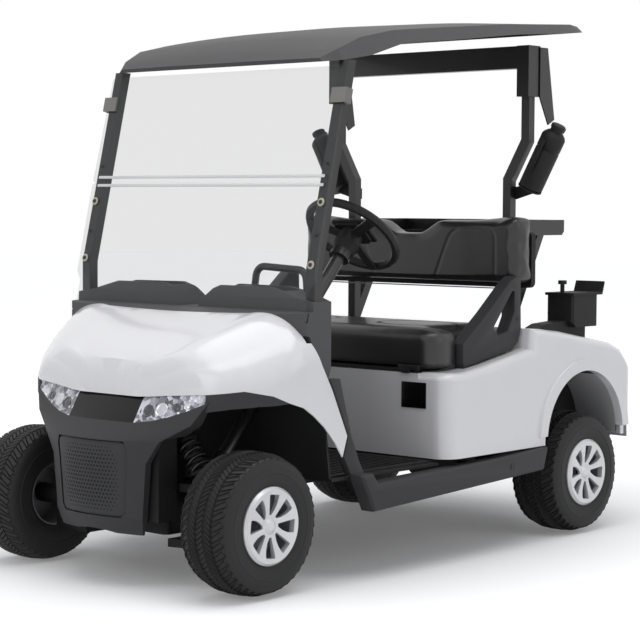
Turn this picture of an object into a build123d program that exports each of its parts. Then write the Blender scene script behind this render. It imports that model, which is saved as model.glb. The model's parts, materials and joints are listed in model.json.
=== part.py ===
from build123d import *
import math
import os

# Two-seat electric golf cart with a roof, a folding-free two-piece windshield and a bag deck.
# Millimetres.  The front of the cart is -Y, its left (driver's) side is +X, up is +Z.
# The origin is on the ground under the middle of the cart.  Like places are given as
# distances behind an axle, so that a table column "front" or "rear" names the axle.

# ---------------------------------------------------------------- driving dimensions
length = 2380.0
wheelbase = 1676.0
front_overhang = 228.0
half_width_body = 600.0
front_half_track = 486.0
rear_half_track = 508.0

tyre_radius = 226.5
tyre_half_width = 98.0
bead_radius = 104.0
cap_radius = 121.0
kingpin_x = 366.0
bearing_gap = 0.1
seat_gap = 0.3
body_wall = 5.0

front_y = -length / 2
front_axle_y = front_y + front_overhang
rear_axle_y = front_axle_y + wheelbase
rear_y = length / 2
axle_z = tyre_radius

pillar_size = 36.0
pillar_x = 520.0
strut_size = 34.0
strut_x = 369.0
strut_y = -172.0

rail_x = 215.0
rail_width = 50.0
rail_height = 60.0
floor_z = 336.0
floor_wall = 8.0
rail_z = floor_z - floor_wall - rail_height / 2
mat_wall = 5.0
sill_outer = 620.0
sill_inner = 562.0

seat_base_wall = 6.0
seat_front_rear = -826.0
seat_deck_z = 632.0

os.makedirs("parts", exist_ok=True)


def behind_front(distance):
    """Y of a place that many millimetres behind the front axle."""
    return front_axle_y + distance


def behind_rear(distance):
    """Y of a place that many millimetres behind the rear axle."""
    return rear_axle_y + distance


def side_point(axle, distance, height):
    """A point of a side profile: on Plane.YZ the first value is Y and the second Z."""
    base = front_axle_y if axle == "front" else rear_axle_y
    return (base + distance, height)


def finish(part, name):
    part.label = name
    export_step(part, f"parts/{name}.step")


# ---------------------------------------------------------------- tyres and wheels
# Low-profile turf tyres on pressed steel rims with an eight-blade silver cover each.
# name, side of the cart, axle y, distance of the tyre's middle from the centre plane
WHEELS = [
    ("fl", 1, front_axle_y, front_half_track),
    ("fr", -1, front_axle_y, front_half_track),
    ("rl", 1, rear_axle_y, rear_half_track),
    ("rr", -1, rear_axle_y, rear_half_track),
]
# half section of the tyre: distance from its middle plane, radius
TYRE_SECTION = [
    (tyre_half_width - 14.0, bead_radius),
    (tyre_half_width, bead_radius + 50.0),
    (tyre_half_width, tyre_radius - 36.0),
    (tyre_half_width - 36.0, tyre_radius),
]
lip_back = 90.0
rim_wall = 4.0
rim_half_width = 84.0
disc_x = 34.0
disc_wall = 6.0
cap_x = 104.0
cap_wall = 8.0
cap_dish = 14.0
dish_radius = 26.0
hub_radius = 32.0
hub_depth = 40.0
spindle_radius = 14.0
spindle_end_x = 60.0
spindle_slack = 4.0
blades = 8
window_inner = 38.0
window_middle = 68.0
window_outer = 95.0
window_crown = 4.0
window_root = 3.0
window_bow = 20.0
window_lead = 27.0
window_trail = 8.0

for name, side, axle_y, half_track in WHEELS:
    outboard = Plane(
        origin=(side * half_track, axle_y, axle_z),
        x_dir=(side, 0, 0),
        z_dir=(0, -side, 0),
    )
    spin_axis = Axis((0, axle_y, axle_z), (1, 0, 0))

    with BuildPart() as tyre:
        with BuildSketch(outboard):
            with BuildLine():
                outer = [(-u, v) for u, v in TYRE_SECTION] + TYRE_SECTION[::-1]
                Polyline(outer, close=True)
            make_face()
        revolve(axis=spin_axis)
    finish(tyre.part, f"tyre_{name}")

    with BuildPart() as wheel:
        barrel = bead_radius - rim_wall
        bore = spindle_radius + bearing_gap
        with BuildSketch(outboard):
            with BuildLine():
                Polyline(
                    (-rim_half_width, barrel),
                    (disc_x - hub_depth, barrel),
                    (disc_x - hub_depth, bore),
                    (spindle_end_x, bore),
                    (spindle_end_x, hub_radius),
                    (disc_x, hub_radius),
                    (disc_x, barrel),
                    (cap_x - cap_wall - cap_dish, barrel),
                    (cap_x - cap_wall - cap_dish, 0),
                    (cap_x - cap_dish / 2, 0),
                    (cap_x - cap_dish / 2, dish_radius / 2),
                    (cap_x - cap_dish, dish_radius),
                    (cap_x, cap_radius - 8),
                    (cap_x - cap_wall, cap_radius),
                    (lip_back, cap_radius),
                    (lip_back, bead_radius),
                    (-rim_half_width, bead_radius),
                    close=True,
                )
            make_face()
        revolve(axis=spin_axis)
        # hollow behind the disc, and the gaps between the blades of the cover
        back_plane = Plane(
            origin=(side * (half_track + disc_x - hub_depth), axle_y, axle_z),
            x_dir=(0, 1, 0),
            z_dir=(side, 0, 0),
        )
        with BuildSketch(back_plane):
            Circle(barrel)
            Circle(hub_radius, mode=Mode.SUBTRACT)
        extrude(amount=hub_depth - disc_wall, mode=Mode.SUBTRACT)
        with BuildSketch(back_plane.offset(hub_depth + 20)):
            with PolarLocations(0, blades):
                Polygon(
                    (window_inner, -window_root),
                    (window_middle, -window_bow),
                    (window_outer, -window_lead),
                    (window_outer + window_crown, window_trail),
                    (window_inner, window_root),
                    align=None,
                )
        extrude(amount=cap_x, mode=Mode.SUBTRACT)
    finish(wheel.part, f"wheel_{name}")

# ---------------------------------------------------------------- steering knuckles
# A forged upright on the kingpin with the stub axle that the wheel turns on.
upright_half = 20.0
upright_height = 150.0
hub_slack = 6.0

for name, side in (("left", 1), ("right", -1)):
    stub_plane = Plane(
        origin=(side * kingpin_x, front_axle_y, axle_z), x_dir=(0, 1, 0), z_dir=(side, 0, 0)
    )
    with BuildPart() as knuckle:
        with BuildSketch(Plane.XY.offset(axle_z - upright_height / 2)):
            with Locations((side * kingpin_x, front_axle_y)):
                Circle(upright_half)
        extrude(amount=upright_height)
        with BuildSketch(stub_plane):
            Circle(spindle_radius)
        extrude(amount=front_half_track - kingpin_x + spindle_end_x - spindle_slack)
        with BuildSketch(stub_plane):
            Circle(hub_radius)
        extrude(amount=front_half_track - kingpin_x + disc_x - hub_depth - hub_slack)
    finish(knuckle.part, f"knuckle_{name}")

# ---------------------------------------------------------------- front suspension
# Two arms a side from the crossbeam to the kingpin, and a coil-over damper above them.
arm_gap = 0.5
arm_thick = 26.0
arm_half = 17.0
beam_half_x = 190.0
beam_half_y = 60.0
beam_height = 130.0
flange_wall = 14.0
coil_radius = 34.0
rod_radius = 22.0
shock_top_x = 215.0
shock_foot_x = kingpin_x - 80
shock_top_z = 470.0
shock_foot_z = axle_z + upright_height / 2 + arm_gap + arm_thick
shock_angle = math.atan2(shock_foot_x - shock_top_x, shock_top_z - shock_foot_z)
shock_tilt_rise = rod_radius * math.sin(shock_angle) + seat_gap
tower_wall = 12.0
tower_half_y = 35.0

with BuildPart() as front_beam:
    with BuildSketch(Plane.XY.offset(axle_z - beam_height / 2)):
        with Locations((0, front_axle_y)):
            Rectangle(2 * beam_half_x, 2 * beam_half_y)
    extrude(amount=beam_height)
    fillet(front_beam.edges().filter_by(Axis.Z), 20)
    # flange that the frame rails butt against
    with BuildSketch(Plane.XZ.offset(-behind_front(beam_half_y - 2))):
        with Locations((0, rail_z - 12)):
            Rectangle(2 * (rail_x + rail_width / 2), rail_height + 24)
    extrude(amount=-flange_wall)
    # towers that hold the dampers' upper ends
    for side in (1, -1):
        tower_x = side * (shock_top_x - coil_radius - tower_wall)
        with BuildSketch(Plane.XY.offset(axle_z + beam_height / 2)):
            with Locations((tower_x, front_axle_y)):
                Rectangle(tower_wall, 2 * tower_half_y)
        extrude(amount=shock_top_z + 2 * shock_tilt_rise - axle_z - beam_height / 2)
        with BuildSketch(Plane.XY.offset(shock_top_z + 2 * shock_tilt_rise)):
            with Locations((tower_x + side * coil_radius, front_axle_y)):
                Rectangle(tower_wall + 2 * coil_radius, 2 * tower_half_y)
        extrude(amount=tower_wall)
finish(front_beam.part, "front_beam")

with BuildPart() as front_arms:
    for side in (1, -1):
        for arm_z in (
            axle_z - upright_height / 2 - arm_gap - arm_thick,
            axle_z + upright_height / 2 + arm_gap,
        ):
            with BuildSketch(Plane.XY.offset(arm_z)):
                with BuildLine():
                    Polyline(
                        (side * beam_half_x, front_axle_y - beam_half_y + 5),
                        (side * (kingpin_x + 14), front_axle_y - arm_half),
                        (side * (kingpin_x + 14), front_axle_y + arm_half),
                        (side * beam_half_x, front_axle_y + beam_half_y - 5),
                        close=True,
                    )
                make_face()
            extrude(amount=arm_thick)
finish(front_arms.part, "front_arms")

coils = 7
coil_wire = 10.0
coil_margin = 24.0
coil_sides = 12
with BuildPart() as front_shocks:
    reach = math.hypot(shock_foot_x - shock_top_x, shock_top_z - shock_foot_z)
    for side in (1, -1):
        lean = Plane(
            origin=(side * shock_foot_x, front_axle_y, shock_foot_z + shock_tilt_rise),
            x_dir=(0, 1, 0),
            z_dir=(side * (shock_top_x - shock_foot_x), 0, shock_top_z - shock_foot_z),
        )
        with BuildSketch(lean):
            Circle(rod_radius)
        extrude(amount=reach)
        for turn in range(coils):
            rise = coil_margin + turn * (reach - 2 * coil_margin) / (coils - 1)
            with BuildSketch(lean.offset(rise - coil_wire / 2)):
                RegularPolygon(coil_radius, coil_sides)
            extrude(amount=coil_wire)
finish(front_shocks.part, "front_shocks")

# ---------------------------------------------------------------- frame
# Two box rails under the floor, tied by cross tubes.
rail_front = beam_half_y - 2 + flange_wall
rail_rear = 380.0

with BuildPart() as frame_rails:
    with BuildSketch(Plane.XY.offset(rail_z - rail_height / 2)):
        for side in (1, -1):
            with Locations((side * rail_x, (behind_front(rail_front) + behind_rear(rail_rear)) / 2)):
                Rectangle(rail_width, behind_rear(rail_rear) - behind_front(rail_front))
    extrude(amount=rail_height)
finish(frame_rails.part, "frame_rails")

# axle of reference, distance behind it, size along the cart
CROSS_TUBES = [
    ("front", 300.0, 50.0),
    ("front", 780.0, 50.0),
    ("rear", -330.0, 50.0),
    ("rear", 300.0, 50.0),
]
with BuildPart() as frame_crossmembers:
    for axle, distance, depth in CROSS_TUBES:
        with BuildSketch(Plane.XY.offset(rail_z - rail_height / 2)):
            with Locations((0, side_point(axle, distance, 0)[0])):
                Rectangle(2 * (rail_x - rail_width / 2), depth)
        extrude(amount=rail_height)
finish(frame_crossmembers.part, "frame_crossmembers")

# ---------------------------------------------------------------- steering wheel's place
steer_x = 270.0
steer_center = 738.0
steer_center_z = 1100.0
steer_tilt = 42.0
steer_axis = (0, math.sin(math.radians(steer_tilt)), math.cos(math.radians(steer_tilt)))
column_radius = 22.0
column_reach = 890.0
steer_hub_height = 46.0
steer_plane = Plane(
    origin=(steer_x, behind_front(steer_center), steer_center_z),
    x_dir=(1, 0, 0),
    z_dir=steer_axis,
)

# ---------------------------------------------------------------- floor and mat
# The floor rises at the front as a toe board that ends under the dash; a ribbed rubber
# mat covers it.  The sills close its sides.
floor_half_width = sill_inner - seat_gap
toe_half_width = 552.0
toe_foot = 300.0
toe_wall = 8.0
dash_lip_low = ("front", 277.0, 655.5)
dash_lip_high = ("front", 252.0, 702.0)
mat_rib = 3.0
mat_pitch = 30.0
mat_margin = 30.0

with BuildPart() as floor_pan:
    with BuildSketch(Plane.YZ.offset(-floor_half_width)):
        with BuildLine():
            Polyline(
                side_point("front", toe_foot, floor_z - floor_wall),
                side_point("rear", seat_front_rear, floor_z - floor_wall),
                side_point("rear", seat_front_rear, floor_z),
                side_point("front", toe_foot, floor_z),
                close=True,
            )
        make_face()
    extrude(amount=2 * floor_half_width)
    with BuildSketch(Plane.YZ.offset(-toe_half_width)):
        with BuildLine():
            lip = dash_lip_high[1] - seat_gap
            lip_drop = toe_wall * (dash_lip_high[2] - dash_lip_low[2]) / (dash_lip_low[1] - dash_lip_high[1])
            Polyline(
                side_point("front", toe_foot, floor_z - floor_wall),
                side_point("front", toe_foot + toe_wall, floor_z),
                side_point("front", lip + toe_wall, dash_lip_high[2] - lip_drop),
                side_point("front", lip, dash_lip_high[2]),
                close=True,
            )
        make_face()
    extrude(amount=2 * toe_half_width)
    # the steering column passes through the toe board
    with BuildSketch(steer_plane.offset(-steer_hub_height - column_reach)):
        Circle(column_radius + seat_gap)
    extrude(amount=column_reach, mode=Mode.SUBTRACT)
finish(floor_pan.part, "floor_pan")

with BuildPart() as floor_mat:
    mat_front = behind_front(toe_foot + 2 * toe_wall)
    mat_length = behind_rear(seat_front_rear) - seat_gap - mat_front
    mat_mid = mat_front + mat_length / 2
    with BuildSketch(Plane.XY.offset(floor_z)):
        with Locations((0, mat_mid)):
            Rectangle(2 * (floor_half_width - mat_margin), mat_length)
    extrude(amount=mat_wall)
    ribs = int((mat_length - mat_pitch) // mat_pitch)
    with BuildSketch(Plane.XY.offset(floor_z + mat_wall)):
        with Locations((0, mat_mid)):
            with GridLocations(1, mat_pitch, 1, ribs):
                Rectangle(2 * (floor_half_width - 2 * mat_margin), mat_pitch / 2)
    extrude(amount=mat_rib)
finish(floor_mat.part, "floor_mat")

# ---------------------------------------------------------------- rocker panels
# Dark moulded sills.  A slimmer leg climbs from each along the cowl's trailing edge up
# to the end of the dash.
leg_outer = 575.0
leg_inner = 545.0
leg_foot_z = 345.0
# axle of reference, distance behind it, height
SILL_SIDE = [
    ("front", 381.0, leg_foot_z),
    ("front", 414.0, 284.0),
    ("front", 446.0, 222.0),
    ("front", 728.0, 234.0),
    ("rear", -288.0, 264.0),
    ("rear", -262.0, leg_foot_z),
    ("rear", -558.0, 330.0),
    ("front", 469.0, 312.0),
    ("front", 444.0, leg_foot_z),
]
LEG_SIDE = [
    ("front", 345.0, 402.0),
    ("front", 381.0, leg_foot_z),
    ("front", 444.0, leg_foot_z),
    ("front", 419.0, 386.0),
    ("front", 383.0, 466.0),
    ("front", 324.0, 655.0),
    ("front", 277.0, 655.0),
    ("front", 295.0, 620.0),
    ("front", 366.5, 470.0),
]
for name, side in (("left", 1), ("right", -1)):
    with BuildPart() as sill:
        start = sill_inner if side > 0 else -sill_outer
        with BuildSketch(Plane.YZ.offset(start)):
            with BuildLine():
                Polyline([side_point(*row) for row in SILL_SIDE], close=True)
            make_face()
        extrude(amount=sill_outer - sill_inner)
        outer_face = sill.faces().sort_by(Axis.X)[-1 if side > 0 else 0]
        chamfer(outer_face.edges(), 8)
        with BuildSketch(Plane.YZ.offset(leg_inner if side > 0 else -leg_outer)):
            with BuildLine():
                Polyline([side_point(*row) for row in LEG_SIDE], close=True)
            make_face()
        extrude(amount=leg_outer - leg_inner)
    finish(sill.part, f"sill_{name}")

# ---------------------------------------------------------------- front cowl
# A white moulded hood.  A slightly raised field in its middle widens towards the
# windshield; round shoulders fall from it to steep sides, which run down over the front
# wheels to a pointed tail behind each.
# distance behind the front axle, crown height, field half width and height of its edge,
# shoulder half width and height, half width of the side and the height where it is steep
COWL_STATIONS = [
    (-133.0, 606.0, 60.0, 605.0, 100.0, 603.0, 135.0, 598.0),
    (-126.0, 664.0, 80.0, 656.0, 145.0, 632.0, 180.0, 600.0),
    (-114.0, 713.0, 110.0, 703.0, 190.0, 664.0, 230.0, 606.0),
    (-82.0, 737.0, 200.0, 727.0, 318.0, 695.0, 392.0, 616.0),
    (-50.0, 757.0, 226.0, 745.0, 372.0, 706.0, 436.0, 622.0),
    (0.0, 787.0, 252.0, 778.0, 424.0, 724.0, 488.0, 630.0),
    (60.0, 815.0, 282.0, 808.0, 466.0, 752.0, 534.0, 640.0),
    (105.0, 834.0, 302.0, 831.0, 490.0, 776.0, 554.0, 660.0),
    (160.0, 852.0, 330.0, 857.0, 508.0, 806.0, 567.0, 690.0),
    (400.0, 868.0, 334.0, 870.0, 520.0, 820.0, 573.0, 700.0),
]
cowl_floor_z = 380.0
shoulder_bulge = 0.12
hood_edge_z = 590.0
hood_rear = 158.0
hood_rear_side = 206.0
hood_cut_z = 770.0
# the line between hood and fascia, the wheel arch and the trailing edge, side view
HOOD_EDGE = [
    ("front", -140.0, 598.0),
    ("front", -82.0, 619.0),
    ("front", -10.0, 630.0),
    ("front", 60.0, 614.0),
    ("front", 107.0, 592.0),
]
COWL_KEEP = [
    ("front", -400.0, hood_edge_z),
    *HOOD_EDGE,
    ("front", 163.0, 573.0),
    ("front", 209.0, 544.0),
    ("front", 257.0, 506.0),
    ("front", 305.0, 454.0),
    ("front", 341.0, 404.0),
    ("front", 363.0, 470.0),
    ("front", 292.0, 620.0),
    ("front", 244.0, 702.0),
    ("front", 213.0, 780.0),
    ("front", 213.0, 900.0),
    ("front", -400.0, 900.0),
]


def cowl_section(row, inset):
    """One cross section of the hood, drawn on Plane.XZ, smaller by inset all round."""
    distance, crown, field, field_z, shoulder, shoulder_z, half, side_z = row
    crown, field_z = crown - inset, field_z - inset
    shoulder, shoulder_z = shoulder - inset * 0.7, shoulder_z - inset * 0.7
    half = half - inset
    low = cowl_floor_z - inset
    side_mid = (
        (half + shoulder) / 2 + (shoulder_z - side_z) * shoulder_bulge,
        (side_z + shoulder_z) / 2 + (half - shoulder) * shoulder_bulge,
    )
    top_mid = (
        (shoulder + field) / 2 + (field_z - shoulder_z) * shoulder_bulge,
        (shoulder_z + field_z) / 2 + (shoulder - field) * shoulder_bulge,
    )
    with BuildSketch(Plane.XZ.offset(-behind_front(distance))) as section:
        with BuildLine():
            Line((-half, low), (half, low))
            Line((half, low), (half, side_z))
            ThreePointArc((half, side_z), side_mid, (shoulder, shoulder_z))
            ThreePointArc((shoulder, shoulder_z), top_mid, (field, field_z))
            ThreePointArc((field, field_z), (0, crown), (-field, field_z))
            ThreePointArc((-field, field_z), (-top_mid[0], top_mid[1]), (-shoulder, shoulder_z))
            ThreePointArc((-shoulder, shoulder_z), (-side_mid[0], side_mid[1]), (-half, side_z))
            Line((-half, side_z), (-half, low))
        make_face()
    return section.sketch


def cowl_body(inset):
    """The hood's outer form, or its hollow when inset is the wall."""
    with BuildPart() as body:
        loft([cowl_section(row, inset) for row in COWL_STATIONS], ruled=True)
    return body.part


def behind_arc(rear, rear_side, half, depth):
    """Plan of what lies behind an arc that is rear behind the front axle in the middle."""
    with BuildSketch(Plane.XY.offset(hood_cut_z)) as plan:
        with BuildLine():
            left, right = (-half, behind_front(rear_side)), (half, behind_front(rear_side))
            ThreePointArc(left, (0, behind_front(rear)), right)
            Polyline(right, (half, behind_front(depth)), (-half, behind_front(depth)), left)
        make_face()
    return plan.sketch


cowl_outer = cowl_body(0.0)
cowl_inner = Pos(0, body_wall, 0) * cowl_body(body_wall)

with BuildPart() as front_cowl:
    add(cowl_outer)
    add(cowl_inner, mode=Mode.SUBTRACT)
    with BuildSketch(Plane.YZ.offset(-half_width_body)):
        with BuildLine():
            Polyline([side_point(*row) for row in COWL_KEEP], close=True)
        make_face()
    extrude(amount=2 * half_width_body, mode=Mode.INTERSECT)
    # the rear edge is bowed forwards in plan
    add(behind_arc(hood_rear, hood_rear_side, half_width_body, 450.0))
    extrude(amount=200, mode=Mode.SUBTRACT)
finish(front_cowl.part, "front_cowl")

# ---------------------------------------------------------------- fascia and lamps
# The dark beak under the hood: full width at the lamps, a narrow apron below with a
# drilled grille in it, and a wing that follows the hood's edge back to each wheel arch.
# height, half width, corner's distance, nose's distance behind the front axle
BEAK = [
    (172.0, 185.0, -158.0, -186.0),
    (225.0, 198.0, -172.0, -218.0),
    (400.0, 214.0, -174.0, -front_overhang),
    (470.0, 262.0, -164.0, -front_overhang),
    (524.0, 352.0, -116.0, -176.0),
    (596.0, 396.0, -82.0, -129.0),
    (622.0, 402.0, -76.0, -116.0),
]
beak_rear = -66.0
apron_end = -140.0
apron_top = 480.0
fascia_wall = 5.0
lamp_inner = 148.0
lamp_outer = 388.0
lamp_side_wall = 6.0
lamp_split = 1.0
band_low_z = 522.0
band_rise = 70.0
band_power = 1.6
lamp_set_back = 1.5
# lower edge of the wing that runs back from each lamp
WING_LOW = [
    ("front", 107.0, 589.0),
    ("front", 70.0, 585.0),
    ("front", 20.0, 582.0),
    ("front", -40.0, 575.0),
    ("front", -84.0, 565.0),
]
# half width and height of the grille's corners
GRILLE_FRONT = [(148.0, 466.0), (160.0, 440.0), (146.0, 244.0), (128.0, 226.0)]
grille_set_back = 4.0
grille_wall = 4.0
hole_radius = 7.0
hole_pitch = 24.0
hole_rows = 5
hole_columns = 9


def beak_body(rows, inset):
    """The beak between the first and last of the rows, smaller by inset."""
    with BuildPart() as body:
        for height, half, corner, nose in rows:
            with BuildSketch(Plane.XY.offset(height)):
                with BuildLine():
                    corner_y = behind_front(corner) + inset
                    rear = behind_front(beak_rear) + inset
                    ThreePointArc(
                        (-half + inset, corner_y),
                        (0, behind_front(nose) + inset),
                        (half - inset, corner_y),
                    )
                    Line((half - inset, corner_y), (half - inset, rear))
                    Line((half - inset, rear), (-half + inset, rear))
                    Line((-half + inset, rear), (-half + inset, corner_y))
                make_face()
        loft(ruled=True)
    return body.part


def lamp_band_line(x):
    """Height of the lamps' lower edge at x: level in the middle, rising to the tips."""
    share = max(0.0, (abs(x) - lamp_inner) / (lamp_outer - lamp_inner))
    return band_low_z + band_rise * share**band_power


def mirrored(points):
    """Both halves of a front view from the points of its left half."""
    return [*points, *[(-x, z) for x, z in reversed(points)]]


def band_front(lift):
    """Front view of the lamp band's opening, its lower edge raised by lift."""
    tip = lamp_outer + 30
    steps = [tip, *[lamp_outer - (lamp_outer - lamp_inner) * step / 4 for step in range(5)]]
    left = [(tip, BEAK[-1][0] + 30), *[(x, lamp_band_line(x) + lift) for x in steps]]
    return mirrored(left)


def below_hood(gap):
    """Side view of all that lies under the hood's lower edge, less a gap."""
    edge = [(axle, distance, height - gap) for axle, distance, height in HOOD_EDGE]
    low = [("front", 130.0, 100.0), ("front", -260.0, 100.0), ("front", -260.0, HOOD_EDGE[0][2] - gap)]
    with BuildPart() as body:
        with BuildSketch(Plane.YZ.offset(-half_width_body)):
            with BuildLine():
                Polyline([side_point(*row) for row in [*edge, *low]], close=True)
            make_face()
        extrude(amount=2 * half_width_body)
    return body.part


front_sheet = Plane.XZ.offset(-behind_front(-front_overhang - 10))
beak_depth = front_overhang + 10 + beak_rear
beak_outer = beak_body(BEAK, 0.0)
hollow_rows = [(BEAK[0][0] - 12, *BEAK[0][1:]), *BEAK[1:-1], (BEAK[-1][0] + 12, *BEAK[-1][1:])]
beak_hollow = beak_body(hollow_rows, fascia_wall)
under_hood = below_hood(seat_gap)

with BuildPart() as wings:
    add(cowl_outer)
    add(cowl_inner, mode=Mode.SUBTRACT)
    with BuildSketch(Plane.YZ.offset(-half_width_body)):
        with BuildLine():
            top = [(axle, distance, height - seat_gap) for axle, distance, height in HOOD_EDGE[1:]]
            Polyline([side_point(*row) for row in [*top, *WING_LOW]], close=True)
        make_face()
    extrude(amount=2 * half_width_body, mode=Mode.INTERSECT)
    # they start outboard of the lamps
    with BuildSketch(front_sheet):
        with Locations((0, band_low_z)):
            Rectangle(2 * (lamp_outer - lamp_side_wall + seat_gap), 400)
    extrude(amount=-beak_depth - 10, mode=Mode.SUBTRACT)

with BuildPart() as front_fascia:
    add(beak_outer)
    add(beak_hollow, mode=Mode.SUBTRACT)
    # the opening of the lamp band
    with BuildSketch(front_sheet):
        with BuildLine():
            Polyline(band_front(0), close=True)
        make_face()
    extrude(amount=-beak_depth - 10, mode=Mode.SUBTRACT)
    # the narrow apron ends at its corners
    with BuildSketch(Plane.XY.offset(BEAK[0][0])):
        with Locations((0, behind_front((apron_end + beak_rear) / 2))):
            Rectangle(2 * half_width_body, beak_rear - apron_end + 20)
    extrude(amount=apron_top - BEAK[0][0], mode=Mode.SUBTRACT)
    # window of the grille
    with BuildSketch(front_sheet):
        with BuildLine():
            Polyline(mirrored(GRILLE_FRONT), close=True)
        make_face()
    extrude(amount=-beak_depth + 20, mode=Mode.SUBTRACT)
    add(wings.part)
finish(front_fascia.part, "front_fascia")

# A drilled panel fills the apron's window.
with BuildPart() as front_grille:
    add(beak_body(BEAK[:4], grille_set_back))
    add(beak_body([hollow_rows[0], *BEAK[1:3], (BEAK[3][0] + 12, *BEAK[3][1:])],
                  grille_set_back + grille_wall), mode=Mode.SUBTRACT)
    with BuildSketch(front_sheet):
        with BuildLine():
            Polyline(mirrored(GRILLE_FRONT), close=True)
        make_face()
        offset(amount=-seat_gap)
    extrude(amount=-beak_depth + 20, mode=Mode.INTERSECT)
    with BuildSketch(front_sheet):
        with Locations((0, (GRILLE_FRONT[0][1] + GRILLE_FRONT[-1][1]) / 2)):
            with HexLocations(hole_pitch / 2, hole_columns, hole_rows):
                RegularPolygon(hole_radius, 6)
    extrude(amount=-beak_depth + 20, mode=Mode.SUBTRACT)
finish(front_grille.part, "front_grille")

# Two clear lamps and a gloss black panel between them fill the lamp band.
with BuildPart() as band:
    add(beak_body(BEAK[-4:], lamp_set_back))
    add(under_hood, mode=Mode.INTERSECT)
    with BuildSketch(front_sheet):
        with BuildLine():
            Polyline(band_front(seat_gap), close=True)
        make_face()
    extrude(amount=-beak_depth - 10, mode=Mode.INTERSECT)

lamp_width = lamp_outer - lamp_side_wall - lamp_inner - lamp_split
with BuildPart() as headlamps:
    add(band.part)
    with BuildSketch(front_sheet):
        for side in (1, -1):
            with Locations((side * (lamp_inner + lamp_split + lamp_width / 2), band_low_z)):
                Rectangle(lamp_width, 400)
    extrude(amount=-beak_depth - 10, mode=Mode.INTERSECT)
finish(headlamps.part, "headlamps")

with BuildPart() as lamp_panel:
    add(band.part)
    with BuildSketch(front_sheet):
        with Locations((0, band_low_z)):
            Rectangle(2 * lamp_inner, 400)
    extrude(amount=-beak_depth - 10, mode=Mode.INTERSECT)
finish(lamp_panel.part, "lamp_panel")

# ---------------------------------------------------------------- inner liner
# Black moulded box between the front wheels, from the apron back to the front beam.
liner_half = 236.0
liner_wall = 4.0
liner_low = 214.0
liner_high = apron_top - 6

with BuildPart() as front_liner:
    liner_length = -beam_half_y - apron_end
    liner_middle = behind_front((-beam_half_y + apron_end) / 2)
    with BuildSketch(Plane.XY.offset(liner_low)):
        with Locations((0, liner_middle)):
            Rectangle(2 * liner_half, liner_length)
    extrude(amount=liner_high - liner_low)
    with BuildSketch(Plane.XY.offset(liner_low + liner_wall)):
        with Locations((0, liner_middle + liner_wall)):
            Rectangle(2 * (liner_half - liner_wall), liner_length)
    extrude(amount=liner_high - liner_low, mode=Mode.SUBTRACT)
finish(front_liner.part, "front_liner")

# ---------------------------------------------------------------- grab handle
# A bent steel tube whose two feet stand in the dash's left hump.
handle_radius = 12.0
handle_bend = 36.0
# x, distance behind the front axle, height
HANDLE_PATH = [
    (176.0, 346.0, 880.0),
    (192.0, 350.0, 1000.0),
    (404.0, 350.0, 990.0),
    (418.0, 346.0, 880.0),
]


def handle_body(radius):
    """The handle's tube, or the room it needs when the radius is larger."""
    points = [(x, behind_front(distance), z) for x, distance, z in HANDLE_PATH]
    with BuildPart() as body:
        with BuildLine() as path:
            FilletPolyline(*points, radius=handle_bend)
        with BuildSketch(Plane(origin=path.wire() @ 0, z_dir=path.wire() % 0)):
            Circle(radius)
        sweep(path=path.wire())
    return body.part


with BuildPart() as grab_handle:
    add(handle_body(handle_radius))
finish(grab_handle.part, "grab_handle")

# ---------------------------------------------------------------- windshield's place
rake = 0.2395
screen_bolt_z = 1209.5
screen_bolt = 289.4
screen_wall = 5.0
screen_low_z = 835.0
screen_low_half = 529.0
screen_half = 552.0
screen_flare_low = 938.0
screen_flare_high = 966.0
pane_corner = 15.0
pillar_foot_z = 720.0
pillar_bend_z = 1000.0
pillar_offset = pillar_size / 2 + screen_wall / 2 + seat_gap
lean_factor = math.sqrt(1 + rake**2)


def screen_behind(z):
    """How far behind the front axle the windshield's middle surface is at height z."""
    return screen_bolt + rake * (z - screen_bolt_z)


def screen_plane():
    """Front face of the windshield: local y climbs the rake."""
    return Plane(
        origin=(0, behind_front(screen_behind(screen_low_z)) - screen_wall / 2, screen_low_z),
        x_dir=(1, 0, 0),
        z_dir=(0, -1, rake),
    )


def up_screen(z):
    return (z - screen_low_z) * lean_factor


pillar_bend = screen_behind(pillar_bend_z) + pillar_offset * lean_factor
pillar_half = pillar_size / 2 * lean_factor

# ---------------------------------------------------------------- dashboard
# Dark scuttle and dash in one moulding behind the hood's rear edge, with a hump on each
# side of a low middle.  The humps hold bins.
dash_half = 545.0 - seat_gap
dash_rear = 372.0
dash_end = 314.0
dash_end_half = 430.0
dash_bin_floor = 826.0
hump_front = 228.0
# axle of reference, distance behind it, height
DASH_SIDE = [
    ("front", 150.0, 800.0),
    ("front", 150.0, 846.0),
    ("front", 205.0, 866.0),
    ("front", dash_rear, 870.0),
    ("front", dash_rear, 760.0),
    ("front", 320.0, 700.0),
    ("front", 302.0, 655.5),
    dash_lip_low,
    dash_lip_high,
    ("front", 212.0 + 2 * seat_gap, 790.0),
]
HUMP_SIDE = [
    ("front", hump_front, 860.0),
    ("front", hump_front + 3, 905.0),
    ("front", 246.0, 938.0),
    ("front", 338.0, 940.0),
    ("front", 358.0, 918.0),
    ("front", dash_rear, 884.0),
    ("front", dash_rear, 860.0),
]
# x of the left hump and height
HUMP_FRONT = [
    (36.0, 860.0),
    (44.0, 876.0),
    (96.0, 926.0),
    (130.0, 940.0),
    (360.0, 938.0),
    (470.0, 908.0),
    (dash_half, 896.0),
    (dash_half, 860.0),
]
# left edge, right edge, front and rear distances of each bin
DASH_BINS = [
    (100.0, 204.0, 252.0, 326.0),
    (232.0, 400.0, 252.0, 326.0),
    (-400.0, -110.0, 252.0, 326.0),
]

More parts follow.
